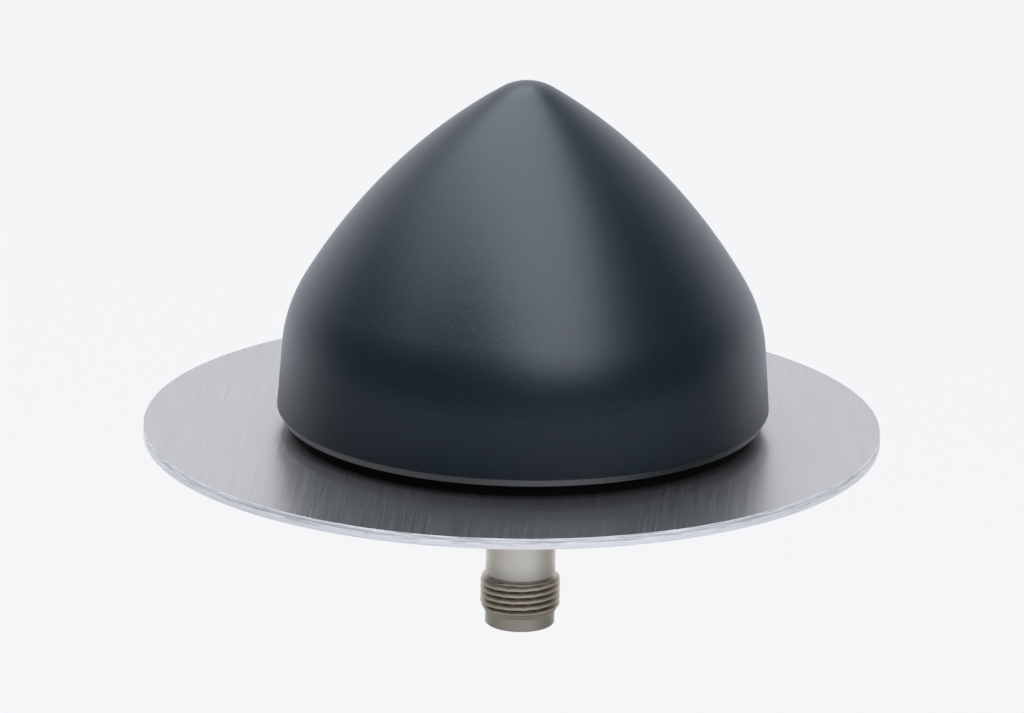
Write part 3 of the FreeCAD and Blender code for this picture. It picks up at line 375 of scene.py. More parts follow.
brushed, tree, shader = start_material(
    "brushed_aluminium", "999693", 0.22, metallic=0.97, Anisotropic=0.9, Coat_Roughness=0.65, Coat_IOR=1.65,
)
along_scratches = add_node(tree, "ShaderNodeTangent", direction_type="UV_MAP", uv_map="brushing")
tree.links.new(along_scratches.outputs[0], shader.inputs["Tangent"])
flat = add_node(tree, "ShaderNodeUVMap", uv_map="brushing")
drawn = add_node(tree, "ShaderNodeMapping", [
    ("Vector", flat.outputs[0]), ("Scale", (per_mm(BRUSH_WIDTH), per_mm(BRUSH_LENGTH), 1)),
])
noise = add_node(tree, "ShaderNodeTexNoise", [("Vector", drawn.outputs[0]), ("Scale", 1.0), ("Detail", 4.0)])
scratches = noise.outputs["Fac"]
show_grain(tree, shader, scratches, tones=("979491", "9b9894"), roughness=(0.18, 0.26), height=SCRATCH_DEPTH)
# The oxide film and the finest scratches act as a rough coat, which hazes a dark reflection in streaks.
# The noise stays near its middle, so the two weights are further apart than what they give.
film = add_node(tree, "ShaderNodeMapRange", [
    ("Value", scratches), ("To Min", FILM_WEIGHTS[0]), ("To Max", FILM_WEIGHTS[1]),
])
tree.links.new(film.outputs["Result"], shader.inputs["Coat Weight"])
print("made", brushed.name)

# %% [markdown]
# The edge of the plate was sheared, not turned. The blade first presses a smooth band, and then the
# sheet breaks, which leaves a torn band. Bare torn aluminium looks almost white, because its tiny facets
# throw light everywhere, so it is rough and bright. Grey flecks run along the edge where the two bands
# meet. They are noise stretched along the edge, kept only near a line that wanders up and down.

# %% Sheared aluminium edge
GRIT = 0.25
GRIT_HEIGHT = 0.012
FIBRE_LENGTH = 4.5
FIBRE_WIDTH = 0.16
# The height of the line, how far it wanders, how long each bend is, and how quickly the flecks thin out
# above and below it
TEAR_LINE = 0.95
TEAR_REACH = 0.40
TEAR_BEND = 4.0
THINS_ABOVE = 0.35
THINS_BELOW = -1.0
FLECKS_LOST = 0.20
FLECK_DARK = 0.34
FLECK_GONE = 0.60

sheared, tree, shader = start_material("sheared_aluminium", "f3f1f4", 0.80, metallic=0.75)
grit = grain_on_object(tree, GRIT, detail=4.0, stretch=(2, 2, 1))
show_grain(tree, shader, grit, height=GRIT_HEIGHT)
fibre_stretch = FIBRE_LENGTH / FIBRE_WIDTH
fibres = grain_on_object(tree, FIBRE_WIDTH, detail=3.0, stretch=(fibre_stretch, fibre_stretch, 1))
wander = grain_on_object(tree, TEAR_BEND, detail=3.0, stretch=(1, 1, 50))
where = add_node(tree, "ShaderNodeTexCoord")
axes = add_node(tree, "ShaderNodeSeparateXYZ", [(0, where.outputs["Object"])])
line = add_node(tree, "ShaderNodeMapRange", [
    ("Value", wander), ("To Min", mm(TEAR_LINE - TEAR_REACH)), ("To Max", mm(TEAR_LINE + TEAR_REACH)),
])
offset = add_node(tree, "ShaderNodeMath", [
    (0, axes.outputs["Z"]), (1, line.outputs["Result"]),
], operation="SUBTRACT")
below = add_node(tree, "ShaderNodeMath", [(0, offset.outputs[0]), (1, THINS_BELOW)], operation="MULTIPLY")
above = add_node(tree, "ShaderNodeMath", [(0, offset.outputs[0]), (1, THINS_ABOVE)], operation="MULTIPLY")
distance = add_node(tree, "ShaderNodeMath", [
    (0, below.outputs[0]), (1, above.outputs[0]),
], operation="MAXIMUM")
lost = add_node(tree, "ShaderNodeMapRange", [
    ("Value", distance.outputs[0]), ("From Min", 0.0), ("From Max", mm(TEAR_REACH)),
    ("To Min", 0.0), ("To Max", FLECKS_LOST),
])
left_over = add_node(tree, "ShaderNodeMath", [(0, fibres), (1, lost.outputs["Result"])], operation="SUBTRACT")
flecks = add_node(tree, "ShaderNodeMapRange", [
    ("Value", left_over.outputs[0]), ("From Min", FLECK_DARK), ("From Max", FLECK_GONE),
], interpolation_type="SMOOTHSTEP")
show_grain(tree, shader, flecks.outputs["Result"], tones=("fffaf8", "d8d5d4"))
print("made", sheared.name)

# %% [markdown]
# The base is a zinc die casting with a semi-gloss black coat. A sprayed coat has a faint orange peel,
# which makes its sheen waver. The pad below it is EPDM rubber, matt and nearly black, with a little grey
# bloom, so it swallows the light and the gap under the base reads as black.

# %% Coated casting and rubber
ORANGE_PEEL = 1.2
BLOOM = 0.8

coated, tree, shader = start_material("black_coated_casting", "262c2c", 0.28, IOR=1.75)
show_grain(tree, shader, grain_on_object(tree, ORANGE_PEEL), roughness=(0.27, 0.34), height=0.004)

epdm, tree, shader = start_material("black_epdm_rubber", "050505", 0.85, Specular_IOR_Level=0.15)
show_grain(tree, shader, grain_on_object(tree, BLOOM, detail=4.0), tones=("030303", "070707"), height=0.01)
print("made", coated.name, "and", epdm.name)

# %% [markdown]
# The jack is turned brass with bright nickel, slightly warm in colour. Turning leaves very fine rings,
# so the noise is squeezed along the axis: it hardly changes round the jack and quickly along it, which
# stretches highlights down the jack. Below its neck the tone is darker, and there it follows the distance
# from the axis: painted shade lies in the grooves and on the chamfers, and the crests are lighter.

# %% Nickel on turned brass
TURNED_RING = 0.16
# How much longer a ring is round the axis than along it
RING_STRETCH = (40, 40, 1)
NECK_TONE = "e0d3c3"
# The darker tone below the neck fades in between these heights
DARKER_FROM = -17.0
DARKER_BELOW = -21.4
# Between these two radii lie the plain tip, the grooves and the crests, each with its tone. The grooves' dark
# tone is painted shade, and on the chamfers it makes a painted shadow line.
TONE_TIP_RADIUS = 4.8
TONE_CREST_RADIUS = 5.5
THREAD_SHADE_TONES = ((0.07, "a69a8b"), (0.40, "978a78"), (0.55, "978a78"), (0.88, "bbad9b"))

nickel, tree, shader = start_material("nickel_on_turned_brass", "b3aea6", 0.30, metallic=1.0)
rings = grain_on_object(tree, TURNED_RING, detail=3.0, stretch=RING_STRETCH)
show_grain(tree, shader, rings, roughness=(0.28, 0.40), height=0.002)
where = add_node(tree, "ShaderNodeTexCoord")
axes = add_node(tree, "ShaderNodeSeparateXYZ", [(0, where.outputs["Object"])])
darker_below_neck = add_node(tree, "ShaderNodeMapRange", [
    ("Value", axes.outputs["Z"]), ("From Min", mm(DARKER_FROM)), ("From Max", mm(DARKER_BELOW)),
], interpolation_type="SMOOTHSTEP")
across = add_node(tree, "ShaderNodeCombineXYZ", [(0, axes.outputs["X"]), (1, axes.outputs["Y"])])
radius = add_node(tree, "ShaderNodeVectorMath", [(0, across.outputs[0])], operation="LENGTH")
outwards = add_node(tree, "ShaderNodeMapRange", [
    ("Value", radius.outputs["Value"]), ("From Min", mm(TONE_TIP_RADIUS)), ("From Max", mm(TONE_CREST_RADIUS)),
])
# Darker in the grooves and on the chamfers: painted shade
tones = add_node(tree, "ShaderNodeValToRGB", [("Fac", outwards.outputs["Result"])], stops=[
    (position, linear(tone)) for position, tone in THREAD_SHADE_TONES
])
colour = add_node(tree, "ShaderNodeMix", [
    (0, darker_below_neck.outputs["Result"]), (MIX_FIRST, linear(NECK_TONE)), (MIX_SECOND, tones.outputs["Color"]),
], data_type="RGBA")
tree.links.new(colour.outputs[MIX_RESULT], shader.inputs["Base Color"])
print("made", nickel.name)

# %% [markdown]
# The stud and the screws are stainless steel, and the washer and the nut have bright zinc on steel.
# Stainless steel is a neutral grey with turning rings. Zinc is bluer, and its crystals make the sheen
# patchy. Both are fully metallic, so what sets them apart from nickel is tint and roughness.

# %% Steel and zinc
STEEL_RING = 0.2
SPANGLE = 1.5

stainless, tree, shader = start_material("turned_stainless_steel", "b9b8b5", 0.28, metallic=1.0)
rings = grain_on_object(tree, STEEL_RING, detail=3.0, stretch=RING_STRETCH)
show_grain(tree, shader, rings, roughness=(0.22, 0.34), height=0.002)

zinc, tree, shader = start_material("bright_zinc_plate", "b8bcc2", 0.34, metallic=1.0)
spangle = grain_on_object(tree, SPANGLE, detail=4.0)
show_grain(tree, shader, spangle, tones=("a9aeb6", "c6c8cc"), roughness=(0.28, 0.42), height=0.006)
print("made", stainless.name, "and", zinc.name)

# %% [markdown]
# Inside the jack are white PTFE, which is waxy because it lets a little light in, and a contact with a
# thin coat of gold. Hard gold is paler than jewellery and almost a mirror.

# %% PTFE and gold
PTFE_RING = 0.2
GOLD_RUB = 0.5
SOFT_RING_STRETCH = (20, 20, 1)

ptfe, tree, shader = start_material("white_ptfe", "eeeee8", 0.42, Subsurface_Weight=0.2, IOR=1.36)
# Red light goes a little further into it than green, and blue the least
shader.inputs["Subsurface Radius"].default_value = (mm(1.5), mm(1.4), mm(1.2))
show_grain(tree, shader, grain_on_object(tree, PTFE_RING, stretch=SOFT_RING_STRETCH), height=0.002)

gold, tree, shader = start_material("hard_gold_plate", "e0bf72", 0.20, metallic=1.0)
show_grain(tree, shader, grain_on_object(tree, GOLD_RUB, stretch=SOFT_RING_STRETCH), roughness=(0.16, 0.26))
print("made", ptfe.name, "and", gold.name)

# %% [markdown]
# The radome hides the rest: rubber rings, the circuit board, two ceramic patches and the amplifier. They
# still get their own finishes, so that a cut through the antenna looks right. These are simpler: two
# close tones, one grain size and a small bump. The numbers are the roughness, the grain and the height
# of the bump, the last two in millimetres.

# %% Hidden finishes
def hidden_finish(name, dark, light, roughness, size, height, metallic=0.0):
    """A plain finish whose tone and surface vary with one grain."""
    material, tree, shader = start_material(name, light, roughness, metallic)
    show_grain(tree, shader, grain_on_object(tree, size, detail=3.0), tones=(dark, light), height=height)
    return material


silicone = hidden_finish("red_silicone_rubber", "7d2f22", "93402f", 0.55, 1.0, 0.004)
laminate = hidden_finish("green_solder_mask", "174a2f", "1d5a39", 0.30, 0.6, 0.002)
ceramic = hidden_finish("fired_ceramic", "cfc8b8", "ded8cb", 0.60, 0.3, 0.004)
silver = hidden_finish("fired_silver", "bdbab3", "d2d0ca", 0.45, 0.2, 0.003, metallic=1.0)
foam_tape = hidden_finish("acrylic_foam_tape", "292b2d", "35383a", 0.80, 0.3, 0.010)
tinned = hidden_finish("tinned_steel", "a9abac", "c3c4c5", 0.35, 2.0, 0.003, metallic=1.0)
moulded_chip = hidden_finish("moulded_chip_package", "141517", "1c1d1f", 0.50, 0.1, 0.002)
print("made seven hidden finishes")

# %% [markdown]
# Turned pieces follow a rule: an outline goes once round an axis. One Geometry Nodes tree does it for
# all of them. It makes a grid with one row for each point of the outline and one column for each step
# round the axis, and then moves every grid point to its place. Modelling by hand would need boolean cuts
# for the threads, while here the mesh stays one clean skin.
#
# The rule is arithmetic, so it is written as formulas: a name, an operation, and what it works on, which
# is an earlier name or a number. The first ones tell a grid point which outline point it belongs to and
# how far round the axis it is.

# %% Formulas for the grid
GRID_FORMULAS = (
    ("columns", "ADD", "Segments", 1),
    ("row", "MODULO", "index", "rows"),
    ("strips", "DIVIDE", "index", "rows"),
    ("column", "FLOOR", "strips"),
    ("share", "DIVIDE", "column", "Segments"),
    ("angle", "MULTIPLY", "share", math.tau),
    ("cosine", "COSINE", "angle"),
    ("sine", "SINE", "angle"),
)
print(len(GRID_FORMULAS), "formulas for the grid")

# %% [markdown]
# A screw thread is a helical groove. Going up the axis, its depth rises and falls once for each pitch,
# and the pattern shifts by one pitch in each turn. Real threads have small flats on the crests and roots,
# so the groove stays at nothing for a share of the pitch and at its full depth for another. No cut goes
# deeper than the root, so the thread runs out on the chamfers at its ends, as a cut thread does.

# %% Formulas for a thread
# The crest is this share of the pitch, and the root is what lies past the second share
CREST_SHARE = 0.42
ROOT_SHARE = 0.95

THREAD_FORMULAS = (
    ("rise", "DIVIDE", "height", "Pitch"),
    ("turns", "ADD", "rise", "Start"),
    ("helix", "SUBTRACT", "turns", "share"),
    ("phase", "FRACT", "helix"),
    ("off crest", "SUBTRACT", "phase", 0.5),
    ("half slope", "ABSOLUTE", "off crest"),
    ("slope", "MULTIPLY", "half slope", 2),
    ("past crest", "SUBTRACT", "slope", CREST_SHARE),
    ("flank", "DIVIDE", "past crest", ROOT_SHARE - CREST_SHARE),
    ("flank or none", "MAXIMUM", "flank", 0),
    ("groove", "MINIMUM", "flank or none", 1),
    ("full cut", "MULTIPLY", "groove", "Depth"),
    ("cut", "MULTIPLY", "full cut", "thread"),
    ("above root", "SUBTRACT", "radius", "Root"),
    ("left to cut", "MAXIMUM", "above root", 0),
    ("taken off", "MINIMUM", "cut", "left to cut"),
    ("threaded", "SUBTRACT", "radius", "taken off"),
)
print(len(THREAD_FORMULAS), "formulas for a thread")

# %% [markdown]
# A spanner needs a hexagon. It is a circle that is divided by the cosine of the angle from the middle of
# the nearest side. The mark on the outline says how much of that stretch a row gets, from none to all.

# %% Formulas for a hexagon
SIDE_ANGLE = math.tau / 6

HEXAGON_FORMULAS = (
    ("within side", "MODULO", "angle", SIDE_ANGLE),
    ("from middle", "SUBTRACT", "within side", SIDE_ANGLE / 2),
    ("side cosine", "COSINE", "from middle"),
    ("full stretch", "DIVIDE", 1, "side cosine"),
    ("extra", "SUBTRACT", "full stretch", 1),
    ("stretch", "MULTIPLY_ADD", "extra", "hexagon", 1),
    ("sided", "MULTIPLY", "threaded", "stretch"),
)
print(len(HEXAGON_FORMULAS), "formulas for a hexagon")

# %% [markdown]
# The torn skin of a sheared edge is rough in the outline too, where a bump wouldn't show, so it needs
# geometry. Noise takes small bites out of the radius. It is read at the point's place on the circle, so
# that its two ends meet, and it is squashed in height, because a tear runs along the edge.

# %% Formulas for a torn edge
TEAR_SQUASH = 4

TEAR_FORMULAS = (
    ("circle x", "MULTIPLY", "cosine", "sided"),
    ("circle y", "MULTIPLY", "sine", "sided"),
    ("circle z", "MULTIPLY", "height", TEAR_SQUASH),
    ("tear scale", "DIVIDE", 1, "Tear Length"),
    ("full bite", "MULTIPLY", "tear noise", "Tear"),
    ("bite", "MULTIPLY", "full bite", "torn"),
    ("bitten", "SUBTRACT", "sided", "bite"),
    ("x", "MULTIPLY", "cosine", "bitten"),
    ("y", "MULTIPLY", "sine", "bitten"),
)
print(len(TEAR_FORMULAS), "formulas for a torn edge")

# %% [markdown]
# The tree itself reads the outline, works out the formulas in order, and sets each grid point's place.
# Its inputs carry the sizes, so one tree serves every turned piece. The noise has no seed, because it is
# the same at each run. The tree ends by making everything real and giving it its material.

# %% The turning tree
TREE_INPUTS = (
    ("Outline", "NodeSocketGeometry"), ("Segments", "NodeSocketInt"), ("Pitch", "NodeSocketFloat"),
    ("Depth", "NodeSocketFloat"), ("Root", "NodeSocketFloat"), ("Tear", "NodeSocketFloat"),
    ("Tear Length", "NodeSocketFloat"), ("Start", "NodeSocketFloat"),
    ("Centre", "NodeSocketVector"), ("Material", "NodeSocketMaterial"),
)
MARKS = ("thread", "hexagon", "torn")
# Points closer than this are one, which closes the seam and the ends of the outline
WELD = mm(0.0005)


def make_turning_tree():
    """Build the tree once. Every turned piece uses it with its own inputs."""
    tree = bpy.data.node_groups.new("turned_piece", "GeometryNodeTree")
    for name, kind in TREE_INPUTS:
        tree.interface.new_socket(name, in_out="INPUT", socket_type=kind)
    tree.interface.new_socket("Geometry", in_out="OUTPUT", socket_type="NodeSocketGeometry")
    given = add_node(tree, "NodeGroupInput").outputs
    outline = given["Outline"]

    # What is read from the outline for each grid point: where its point is, and its three marks
    readings = {"point": (add_node(tree, "GeometryNodeInputPosition").outputs[0], "FLOAT_VECTOR")}
    for mark in MARKS:
        attribute = add_node(tree, "GeometryNodeInputNamedAttribute", [("Name", mark)], data_type="FLOAT")
        readings[mark] = (attribute.outputs["Attribute"], "FLOAT")
    samples = {}
    for name, (value, data_type) in readings.items():
        samples[name] = add_node(tree, "GeometryNodeSampleIndex", [
            ("Geometry", outline), ("Value", value),
        ], data_type=data_type, domain="POINT")
    place = add_node(tree, "ShaderNodeSeparateXYZ", [(0, samples["point"].outputs["Value"])])
    size = add_node(tree, "GeometryNodeAttributeDomainSize", [("Geometry", outline)])
    noise = add_node(tree, "ShaderNodeTexNoise", [("Detail", 3.0), ("Roughness", 0.65)])

    values = {name: given[name] for name, _ in TREE_INPUTS}
    values.update({mark: samples[mark].outputs["Value"] for mark in MARKS})
    values.update({
        "index": add_node(tree, "GeometryNodeInputIndex").outputs[0], "rows": size.outputs["Point Count"],
        "radius": place.outputs["X"], "height": place.outputs["Z"], "tear noise": noise.outputs["Fac"],
    })
    for name, operation, *terms in GRID_FORMULAS + THREAD_FORMULAS + HEXAGON_FORMULAS + TEAR_FORMULAS:
        inputs = [(number, values.get(term, term)) for number, term in enumerate(terms)]
        values[name] = add_node(tree, "ShaderNodeMath", inputs, operation=operation).outputs[0]

    for sample in samples.values():
        tree.links.new(values["row"], sample.inputs["Index"])
    circle = add_node(tree, "ShaderNodeCombineXYZ", [
        (0, values["circle x"]), (1, values["circle y"]), (2, values["circle z"]),
    ])
    tree.links.new(circle.outputs[0], noise.inputs["Vector"])
    tree.links.new(values["tear scale"], noise.inputs["Scale"])

    grid = add_node(tree, "GeometryNodeMeshGrid", [
        ("Vertices X", values["columns"]), ("Vertices Y", values["rows"]),
    ])
    turned = add_node(tree, "ShaderNodeCombineXYZ", [
        (0, values["x"]), (1, values["y"]), (2, values["height"]),
    ])
    moved = add_node(tree, "ShaderNodeVectorMath", [
        (0, turned.outputs[0]), (1, given["Centre"]),
    ], operation="ADD")
    shaped = add_node(tree, "GeometryNodeSetPosition", [
        ("Geometry", grid.outputs["Mesh"]), ("Position", moved.outputs[0]),
    ])
    welded = add_node(tree, "GeometryNodeMergeByDistance", [
        ("Geometry", shaped.outputs[0]), ("Distance", WELD),
    ])
    real = add_node(tree, "GeometryNodeRealizeInstances", [("Geometry", welded.outputs[0])])
    dressed = add_node(tree, "GeometryNodeSetMaterial", [
        ("Geometry", real.outputs[0]), ("Material", given["Material"]),
    ])
    add_node(tree, "NodeGroupOutput", [("Geometry", dressed.outputs[0])])
    return tree


turning_tree = make_turning_tree()
print("turning tree has", len(turning_tree.nodes), "nodes")

# %% [markdown]
# To use the tree, an outline is drawn as a chain of points on one side of the axis, and each point may
# carry marks: thread, hexagon or torn. The modifier turns it, and the result is kept as a plain mesh. A
# real turned part has crisp edges between smooth faces, so shading is smooth except over sharp angles.

# %% Use the tree on an outline
SHARP_ANGLE = math.radians(32)
# What the tree gets where a piece asks for nothing
PLAIN_INPUTS = {
    "Pitch": mm(1), "Depth": 0.0, "Root": 0.0, "Start": 0.0, "Tear": 0.0, "Tear Length": mm(1),
}


def draw_outline(name, outline):
    """A mesh of edges through (radius, height, marks) points, in millimetres."""
    mesh = bpy.data.meshes.new(f"{name}_outline")
    points = [mm(radius, 0, height) for radius, height, _ in outline]
    mesh.from_pydata(points, [(start, start + 1) for start in range(len(points) - 1)], [])
    for mark in MARKS:
        layer = mesh.attributes.new(mark, "FLOAT", "POINT")
        layer.data.foreach_set("value", [marks.get(mark, 0.0) for _, _, marks in outline])
    return mesh


def turn_piece(name, outline, material, segments, **inputs):
    """Turn an outline into a finished mesh object. Names in inputs are the tree's, with underscores."""
    piece = bpy.data.objects.new(name, draw_outline(name, outline))
    bpy.context.scene.collection.objects.link(piece)
    modifier = piece.modifiers.new("turning", "NODES")
    modifier.node_group = turning_tree
    settings = {**PLAIN_INPUTS, "Segments": segments, "Material": material}
    settings.update({key.replace("_", " "): value for key, value in inputs.items()})
    for item in turning_tree.interface.items_tree:
        if item.in_out == "INPUT" and item.name in settings:
            modifier[item.identifier] = settings[item.name]
    evaluated = piece.evaluated_get(bpy.context.evaluated_depsgraph_get())
    finished = bpy.data.meshes.new_from_object(evaluated)
    finished.name = name
    finished.materials.clear()
    finished.materials.append(material)
    finished.polygons.foreach_set("material_index", [0] * len(finished.polygons))
    piece.modifiers.remove(modifier)
    piece.data = finished
    skin = bmesh.new()
    skin.from_mesh(finished)
    bmesh.ops.recalc_face_normals(skin, faces=skin.faces)
    skin.to_mesh(finished)
    skin.free()
    finished.shade_smooth()
    finished.set_sharp_from_angle(angle=SHARP_ANGLE)
    return piece


def spread(start, end, count, marks):
    """Evenly spaced outline points from one (radius, height) to another, all with the same marks."""
    steps = [step / (count - 1) for step in range(count)]
    return [
        (start[0] + (end[0] - start[0]) * step, start[1] + (end[1] - start[1]) * step, marks)
        for step in steps
    ]


print("draw_outline, turn_piece and spread are ready")

# %% [markdown]
# The ground plane is 1.5 mm sheet. Its hole only clears the stud, and the real one slipped sideways
# before the nut was tightened, so its middle is read from the solid model. The blade left a pressed band
# below, which is nearly smooth, and a torn band above it. Both get many rows of points for the tear.

# %% Ground plane
plate_low, plate_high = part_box("ground_plane")
plate_middle = (plate_low + plate_high) / 2
PLATE_RADIUS = (plate_high.x - plate_low.x) / 2 / MM
PLATE_TOP = plate_high.z / MM
PLATE_HOLE = 11.1
FLAT_ENDS = PLATE_RADIUS - 1
EDGE_BREAK = 0.02
EDGE_RADIUS = PLATE_RADIUS - EDGE_BREAK
# The height of the pressed band, and the rows of points in each band
PRESSED_TOP = 0.7
TORN_FROM = PRESSED_TOP + 0.08
BAND_ROWS = 9
RIM_SEGMENTS = 1600
# How deep the tear bites, and how long one bite is
BITE_DEPTH = 0.07
BITE_LENGTH = 1.3

smooth, pressed, torn = {}, {"torn": 0.3}, {"torn": 1.0}
plate_outline = [
    (PLATE_HOLE, 0, smooth),
    (FLAT_ENDS, 0, smooth),
    (EDGE_RADIUS, 0, smooth),
    *spread((PLATE_RADIUS, EDGE_BREAK), (PLATE_RADIUS, PRESSED_TOP), BAND_ROWS, pressed),
    *spread((PLATE_RADIUS, TORN_FROM), (PLATE_RADIUS, PLATE_TOP - EDGE_BREAK), BAND_ROWS, torn),
    (EDGE_RADIUS, PLATE_TOP, torn),
    (FLAT_ENDS, PLATE_TOP, smooth),
    (PLATE_HOLE, PLATE_TOP, smooth),
    (PLATE_HOLE, 0, smooth),
]
plate = turn_piece(
    "brushed_ground_plane", plate_outline, brushed, RIM_SEGMENTS,
    Tear=mm(BITE_DEPTH), Tear_Length=mm(BITE_LENGTH), Centre=(plate_middle.x, plate_middle.y, 0),
)
print(plate.name, len(plate.data.polygons), "faces")

# %% [markdown]
# The faces of the rim take the sheared finish. The brushing needs to know which way it runs, so the plate
# gets a UV map. It lies over the sheet as flat as paper and is turned a little, because the scratches in
# the photograph lean by a few degrees.

# %% Rim finish and brushing
BRUSH_TURN = math.radians(3)
# A face of the rim has a normal that points less than this up or down, and isn't near the hole's wall
UPRIGHT = 0.8
NEAR_HOLE = 3

plate.data.materials.append(sheared)
brushing = plate.data.uv_layers.new(name="brushing")
for face in plate.data.polygons:
    on_rim = abs(face.normal.z) < UPRIGHT and face.center.xy.length > mm(PLATE_HOLE + NEAR_HOLE)
    face.material_index = 1 if on_rim else 0
    for loop in face.loop_indices:
        corner = plate.data.vertices[plate.data.loops[loop].vertex_index].co
        brushing.data[loop].uv = Matrix.Rotation(BRUSH_TURN, 2) @ corner.xy
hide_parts("ground_plane")
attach(plate, "root")
print(sum(face.material_index for face in plate.data.polygons), "faces have the sheared finish")

# %% [markdown]
# The jack has a 7/16-28 thread for a TNC plug: 28 turns to the inch, or 0.907 mm from crest to crest.
# The outline is the same as the solid model's, which has the plain collar that the thread is cut into.
# The collar's ends are long chamfers, on which the thread runs out. The heights hang from the end of the
# stud and the tip of the jack, both read from the solid model, and the radii are those of such a jack.

# %% Coaxial jack with its thread
INCH = 25.4
JACK_PITCH = INCH / 28
JACK_DEPTH = 0.38
JACK_SEGMENTS = 180
ROWS_PER_PITCH = 16
# The share of a turn by which the thread is turned, so that its grooves lie where the photo has them
THREAD_START = 0.155

jack_low, jack_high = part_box("tnc_jack_shell")
JACK_TIP = jack_low.z / MM
JACK_REAR = jack_high.z / MM
STUD_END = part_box("mounting_stud")[0].z / MM
NECK = 4.815
COLLAR = 5.5
TIP = 4.8
SOCKET = 4.06
BORE = 3.4
REAR_THREAD = 6.35
REAR_CHAMFER = 0.4
FLANGE = 7.94
FLANGE_LOW = STUD_END - 1.4
COLLAR_TOP = STUD_END - 7.9
COLLAR_BOTTOM = COLLAR_TOP - 5.6
# The collar's full width ends at these heights, and the chamfers start this far from neck and tip
FULL_TOP = COLLAR_TOP - 0.8
FULL_BOTTOM = COLLAR_BOTTOM + 1.1
STEP = 0.05
# The neck's rows of points start here, and the short and the long chamfer have this many of them
NECK_FROM = FLANGE_LOW - 1
NECK_ROWS = 6
SHORT_CHAMFER_ROWS = 12
LONG_CHAMFER_ROWS = 14
SOCKET_FLOOR = JACK_TIP + 8.4
TIP_CHAMFER = 0.2

threaded, hexagonal = {"thread": 1.0}, {"hexagon": 1.0}
collar_rows = int((FULL_TOP - FULL_BOTTOM) / JACK_PITCH * ROWS_PER_PITCH)
jack_outline = [
    (BORE, JACK_REAR, smooth),
    (REAR_THREAD - REAR_CHAMFER, JACK_REAR, smooth),
    (REAR_THREAD, JACK_REAR - REAR_CHAMFER, smooth),
    (REAR_THREAD, STUD_END, smooth),
    (FLANGE, STUD_END, hexagonal),
    (FLANGE, FLANGE_LOW, hexagonal),
    (NECK, FLANGE_LOW, smooth),
    *spread((NECK, NECK_FROM), (NECK, COLLAR_TOP), NECK_ROWS, smooth),
    *spread((NECK + STEP, COLLAR_TOP - STEP), (COLLAR, FULL_TOP), SHORT_CHAMFER_ROWS, threaded),
    *spread((COLLAR, FULL_TOP), (COLLAR, FULL_BOTTOM), collar_rows, threaded),
    *spread((COLLAR, FULL_BOTTOM), (TIP + STEP, COLLAR_BOTTOM + STEP), LONG_CHAMFER_ROWS, threaded),
    (TIP, COLLAR_BOTTOM, smooth),
    (TIP, JACK_TIP + TIP_CHAMFER, smooth),
    (TIP - TIP_CHAMFER, JACK_TIP, smooth),
    (SOCKET + TIP_CHAMFER, JACK_TIP, smooth),
    (SOCKET, JACK_TIP + TIP_CHAMFER, smooth),
    (SOCKET, SOCKET_FLOOR, smooth),
    (BORE, SOCKET_FLOOR, smooth),
    (BORE, JACK_REAR, smooth),
]
jack = turn_piece(
    "threaded_tnc_jack", jack_outline, nickel, JACK_SEGMENTS,
    Pitch=mm(JACK_PITCH), Depth=mm(JACK_DEPTH), Root=mm(COLLAR - JACK_DEPTH), Start=THREAD_START,
)
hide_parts("tnc_jack_shell")
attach(jack, "root")
print(jack.name, len(jack.data.polygons), "faces,", round(JACK_PITCH, 3), "mm pitch")

# %% [markdown]
# The hollow stud is turned from stainless steel bar. It has a 3/4-16 thread, which is 16 turns to the
# inch, and about two turns of it show between the nut and the jack. Its hexagonal head sits in the base.
# The outline again repeats the solid model's, and the same tree cuts the groove.

# %% Hollow stud with its thread
STUD_PITCH = INCH / 16
STUD_DEPTH = 0.90
STUD_RADIUS = 3 / 8 * INCH
STUD_THREAD_TOP = 2.0
STUD_RUN_OUT = 0.2
STUD_CHAMFER = 1.0
STUD_PASSAGE = 3.0
STUD_BORE = 6.38
STUD_BORE_FLOOR = STUD_END + 8.5
SEAL_SEAT = 1.0
HEAD_HEIGHT = 2.3

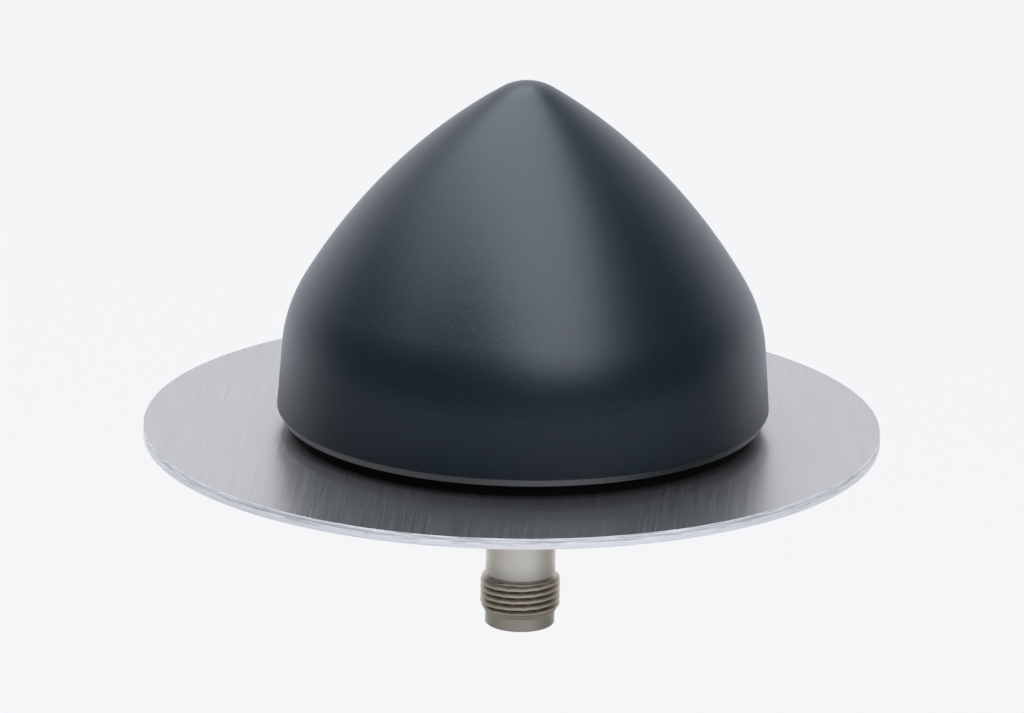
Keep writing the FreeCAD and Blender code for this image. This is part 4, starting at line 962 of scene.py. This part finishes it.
stud_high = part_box("mounting_stud")[1]
HEAD_TOP = stud_high.z / MM
HEAD_LOW = HEAD_TOP - HEAD_HEIGHT
HEAD_FLAT = stud_high.y / MM
FULL_LOW = STUD_END + STUD_CHAMFER
SEAL_TOP = STUD_END + SEAL_SEAT
stud_rows = int((STUD_THREAD_TOP - FULL_LOW) / STUD_PITCH * ROWS_PER_PITCH)
stud_outline = [
    (STUD_PASSAGE, HEAD_TOP, smooth),
    (HEAD_FLAT, HEAD_TOP, hexagonal),
    (HEAD_FLAT, HEAD_LOW, hexagonal),
    (STUD_RADIUS, HEAD_LOW, smooth),
    (STUD_RADIUS, STUD_THREAD_TOP + STUD_RUN_OUT, smooth),
    *spread((STUD_RADIUS, STUD_THREAD_TOP), (STUD_RADIUS, FULL_LOW), stud_rows, threaded),
    *spread((STUD_RADIUS, FULL_LOW), (STUD_RADIUS - STUD_CHAMFER, STUD_END), SHORT_CHAMFER_ROWS, threaded),
    (STUD_BORE + SEAL_SEAT, STUD_END, smooth),
    (STUD_BORE + SEAL_SEAT, SEAL_TOP, smooth),
    (STUD_BORE, SEAL_TOP, smooth),
    (STUD_BORE, STUD_BORE_FLOOR, smooth),
    (STUD_PASSAGE, STUD_BORE_FLOOR, smooth),
    (STUD_PASSAGE, HEAD_TOP, smooth),
]
stud = turn_piece(
    "threaded_mounting_stud", stud_outline, stainless, JACK_SEGMENTS,
    Pitch=mm(STUD_PITCH), Depth=mm(STUD_DEPTH), Root=mm(STUD_RADIUS - STUD_DEPTH),
)
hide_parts("mounting_stud")
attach(stud, "root")
print(stud.name, len(stud.data.polygons), "faces,", round(STUD_PITCH, 3), "mm pitch")

# %% [markdown]
# Every other solid already has its real shape, so it keeps it and only gets its finish. One table says
# which finish each takes.

# %% Finishes for the solid pieces
FINISHES = {
    asa: ["radome"],
    coated: ["base_casting"],
    epdm: ["mounting_gasket"],
    stainless: ["radome_screws", "board_screws"],
    zinc: ["stud_washer", "stud_nut"],
    ptfe: ["tnc_insulator", "lead_sleeve"],
    gold: ["tnc_centre_contact", "lower_feed_pins", "upper_feed_pins"],
    silicone: ["stud_seal", "radome_seal", "jack_seal"],
    laminate: ["circuit_board"],
    ceramic: ["lower_patch", "upper_patch"],
    silver: ["lower_patch_electrode", "upper_patch_electrode"],
    foam_tape: ["lower_patch_adhesive", "upper_patch_adhesive"],
    tinned: ["shield_frame", "shield_lid", "centre_lead"],
    moulded_chip: ["saw_filters", "amplifier_chips", "chip_capacitors"],
}
for finish, names in FINISHES.items():
    for name in names:
        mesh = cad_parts[name].data
        mesh.materials.clear()
        mesh.materials.append(finish)
print("finished", sum(len(names) for names in FINISHES.values()), "solid pieces")

# %% [markdown]
# That is the whole scene.

# %% The end
print("scene ready")
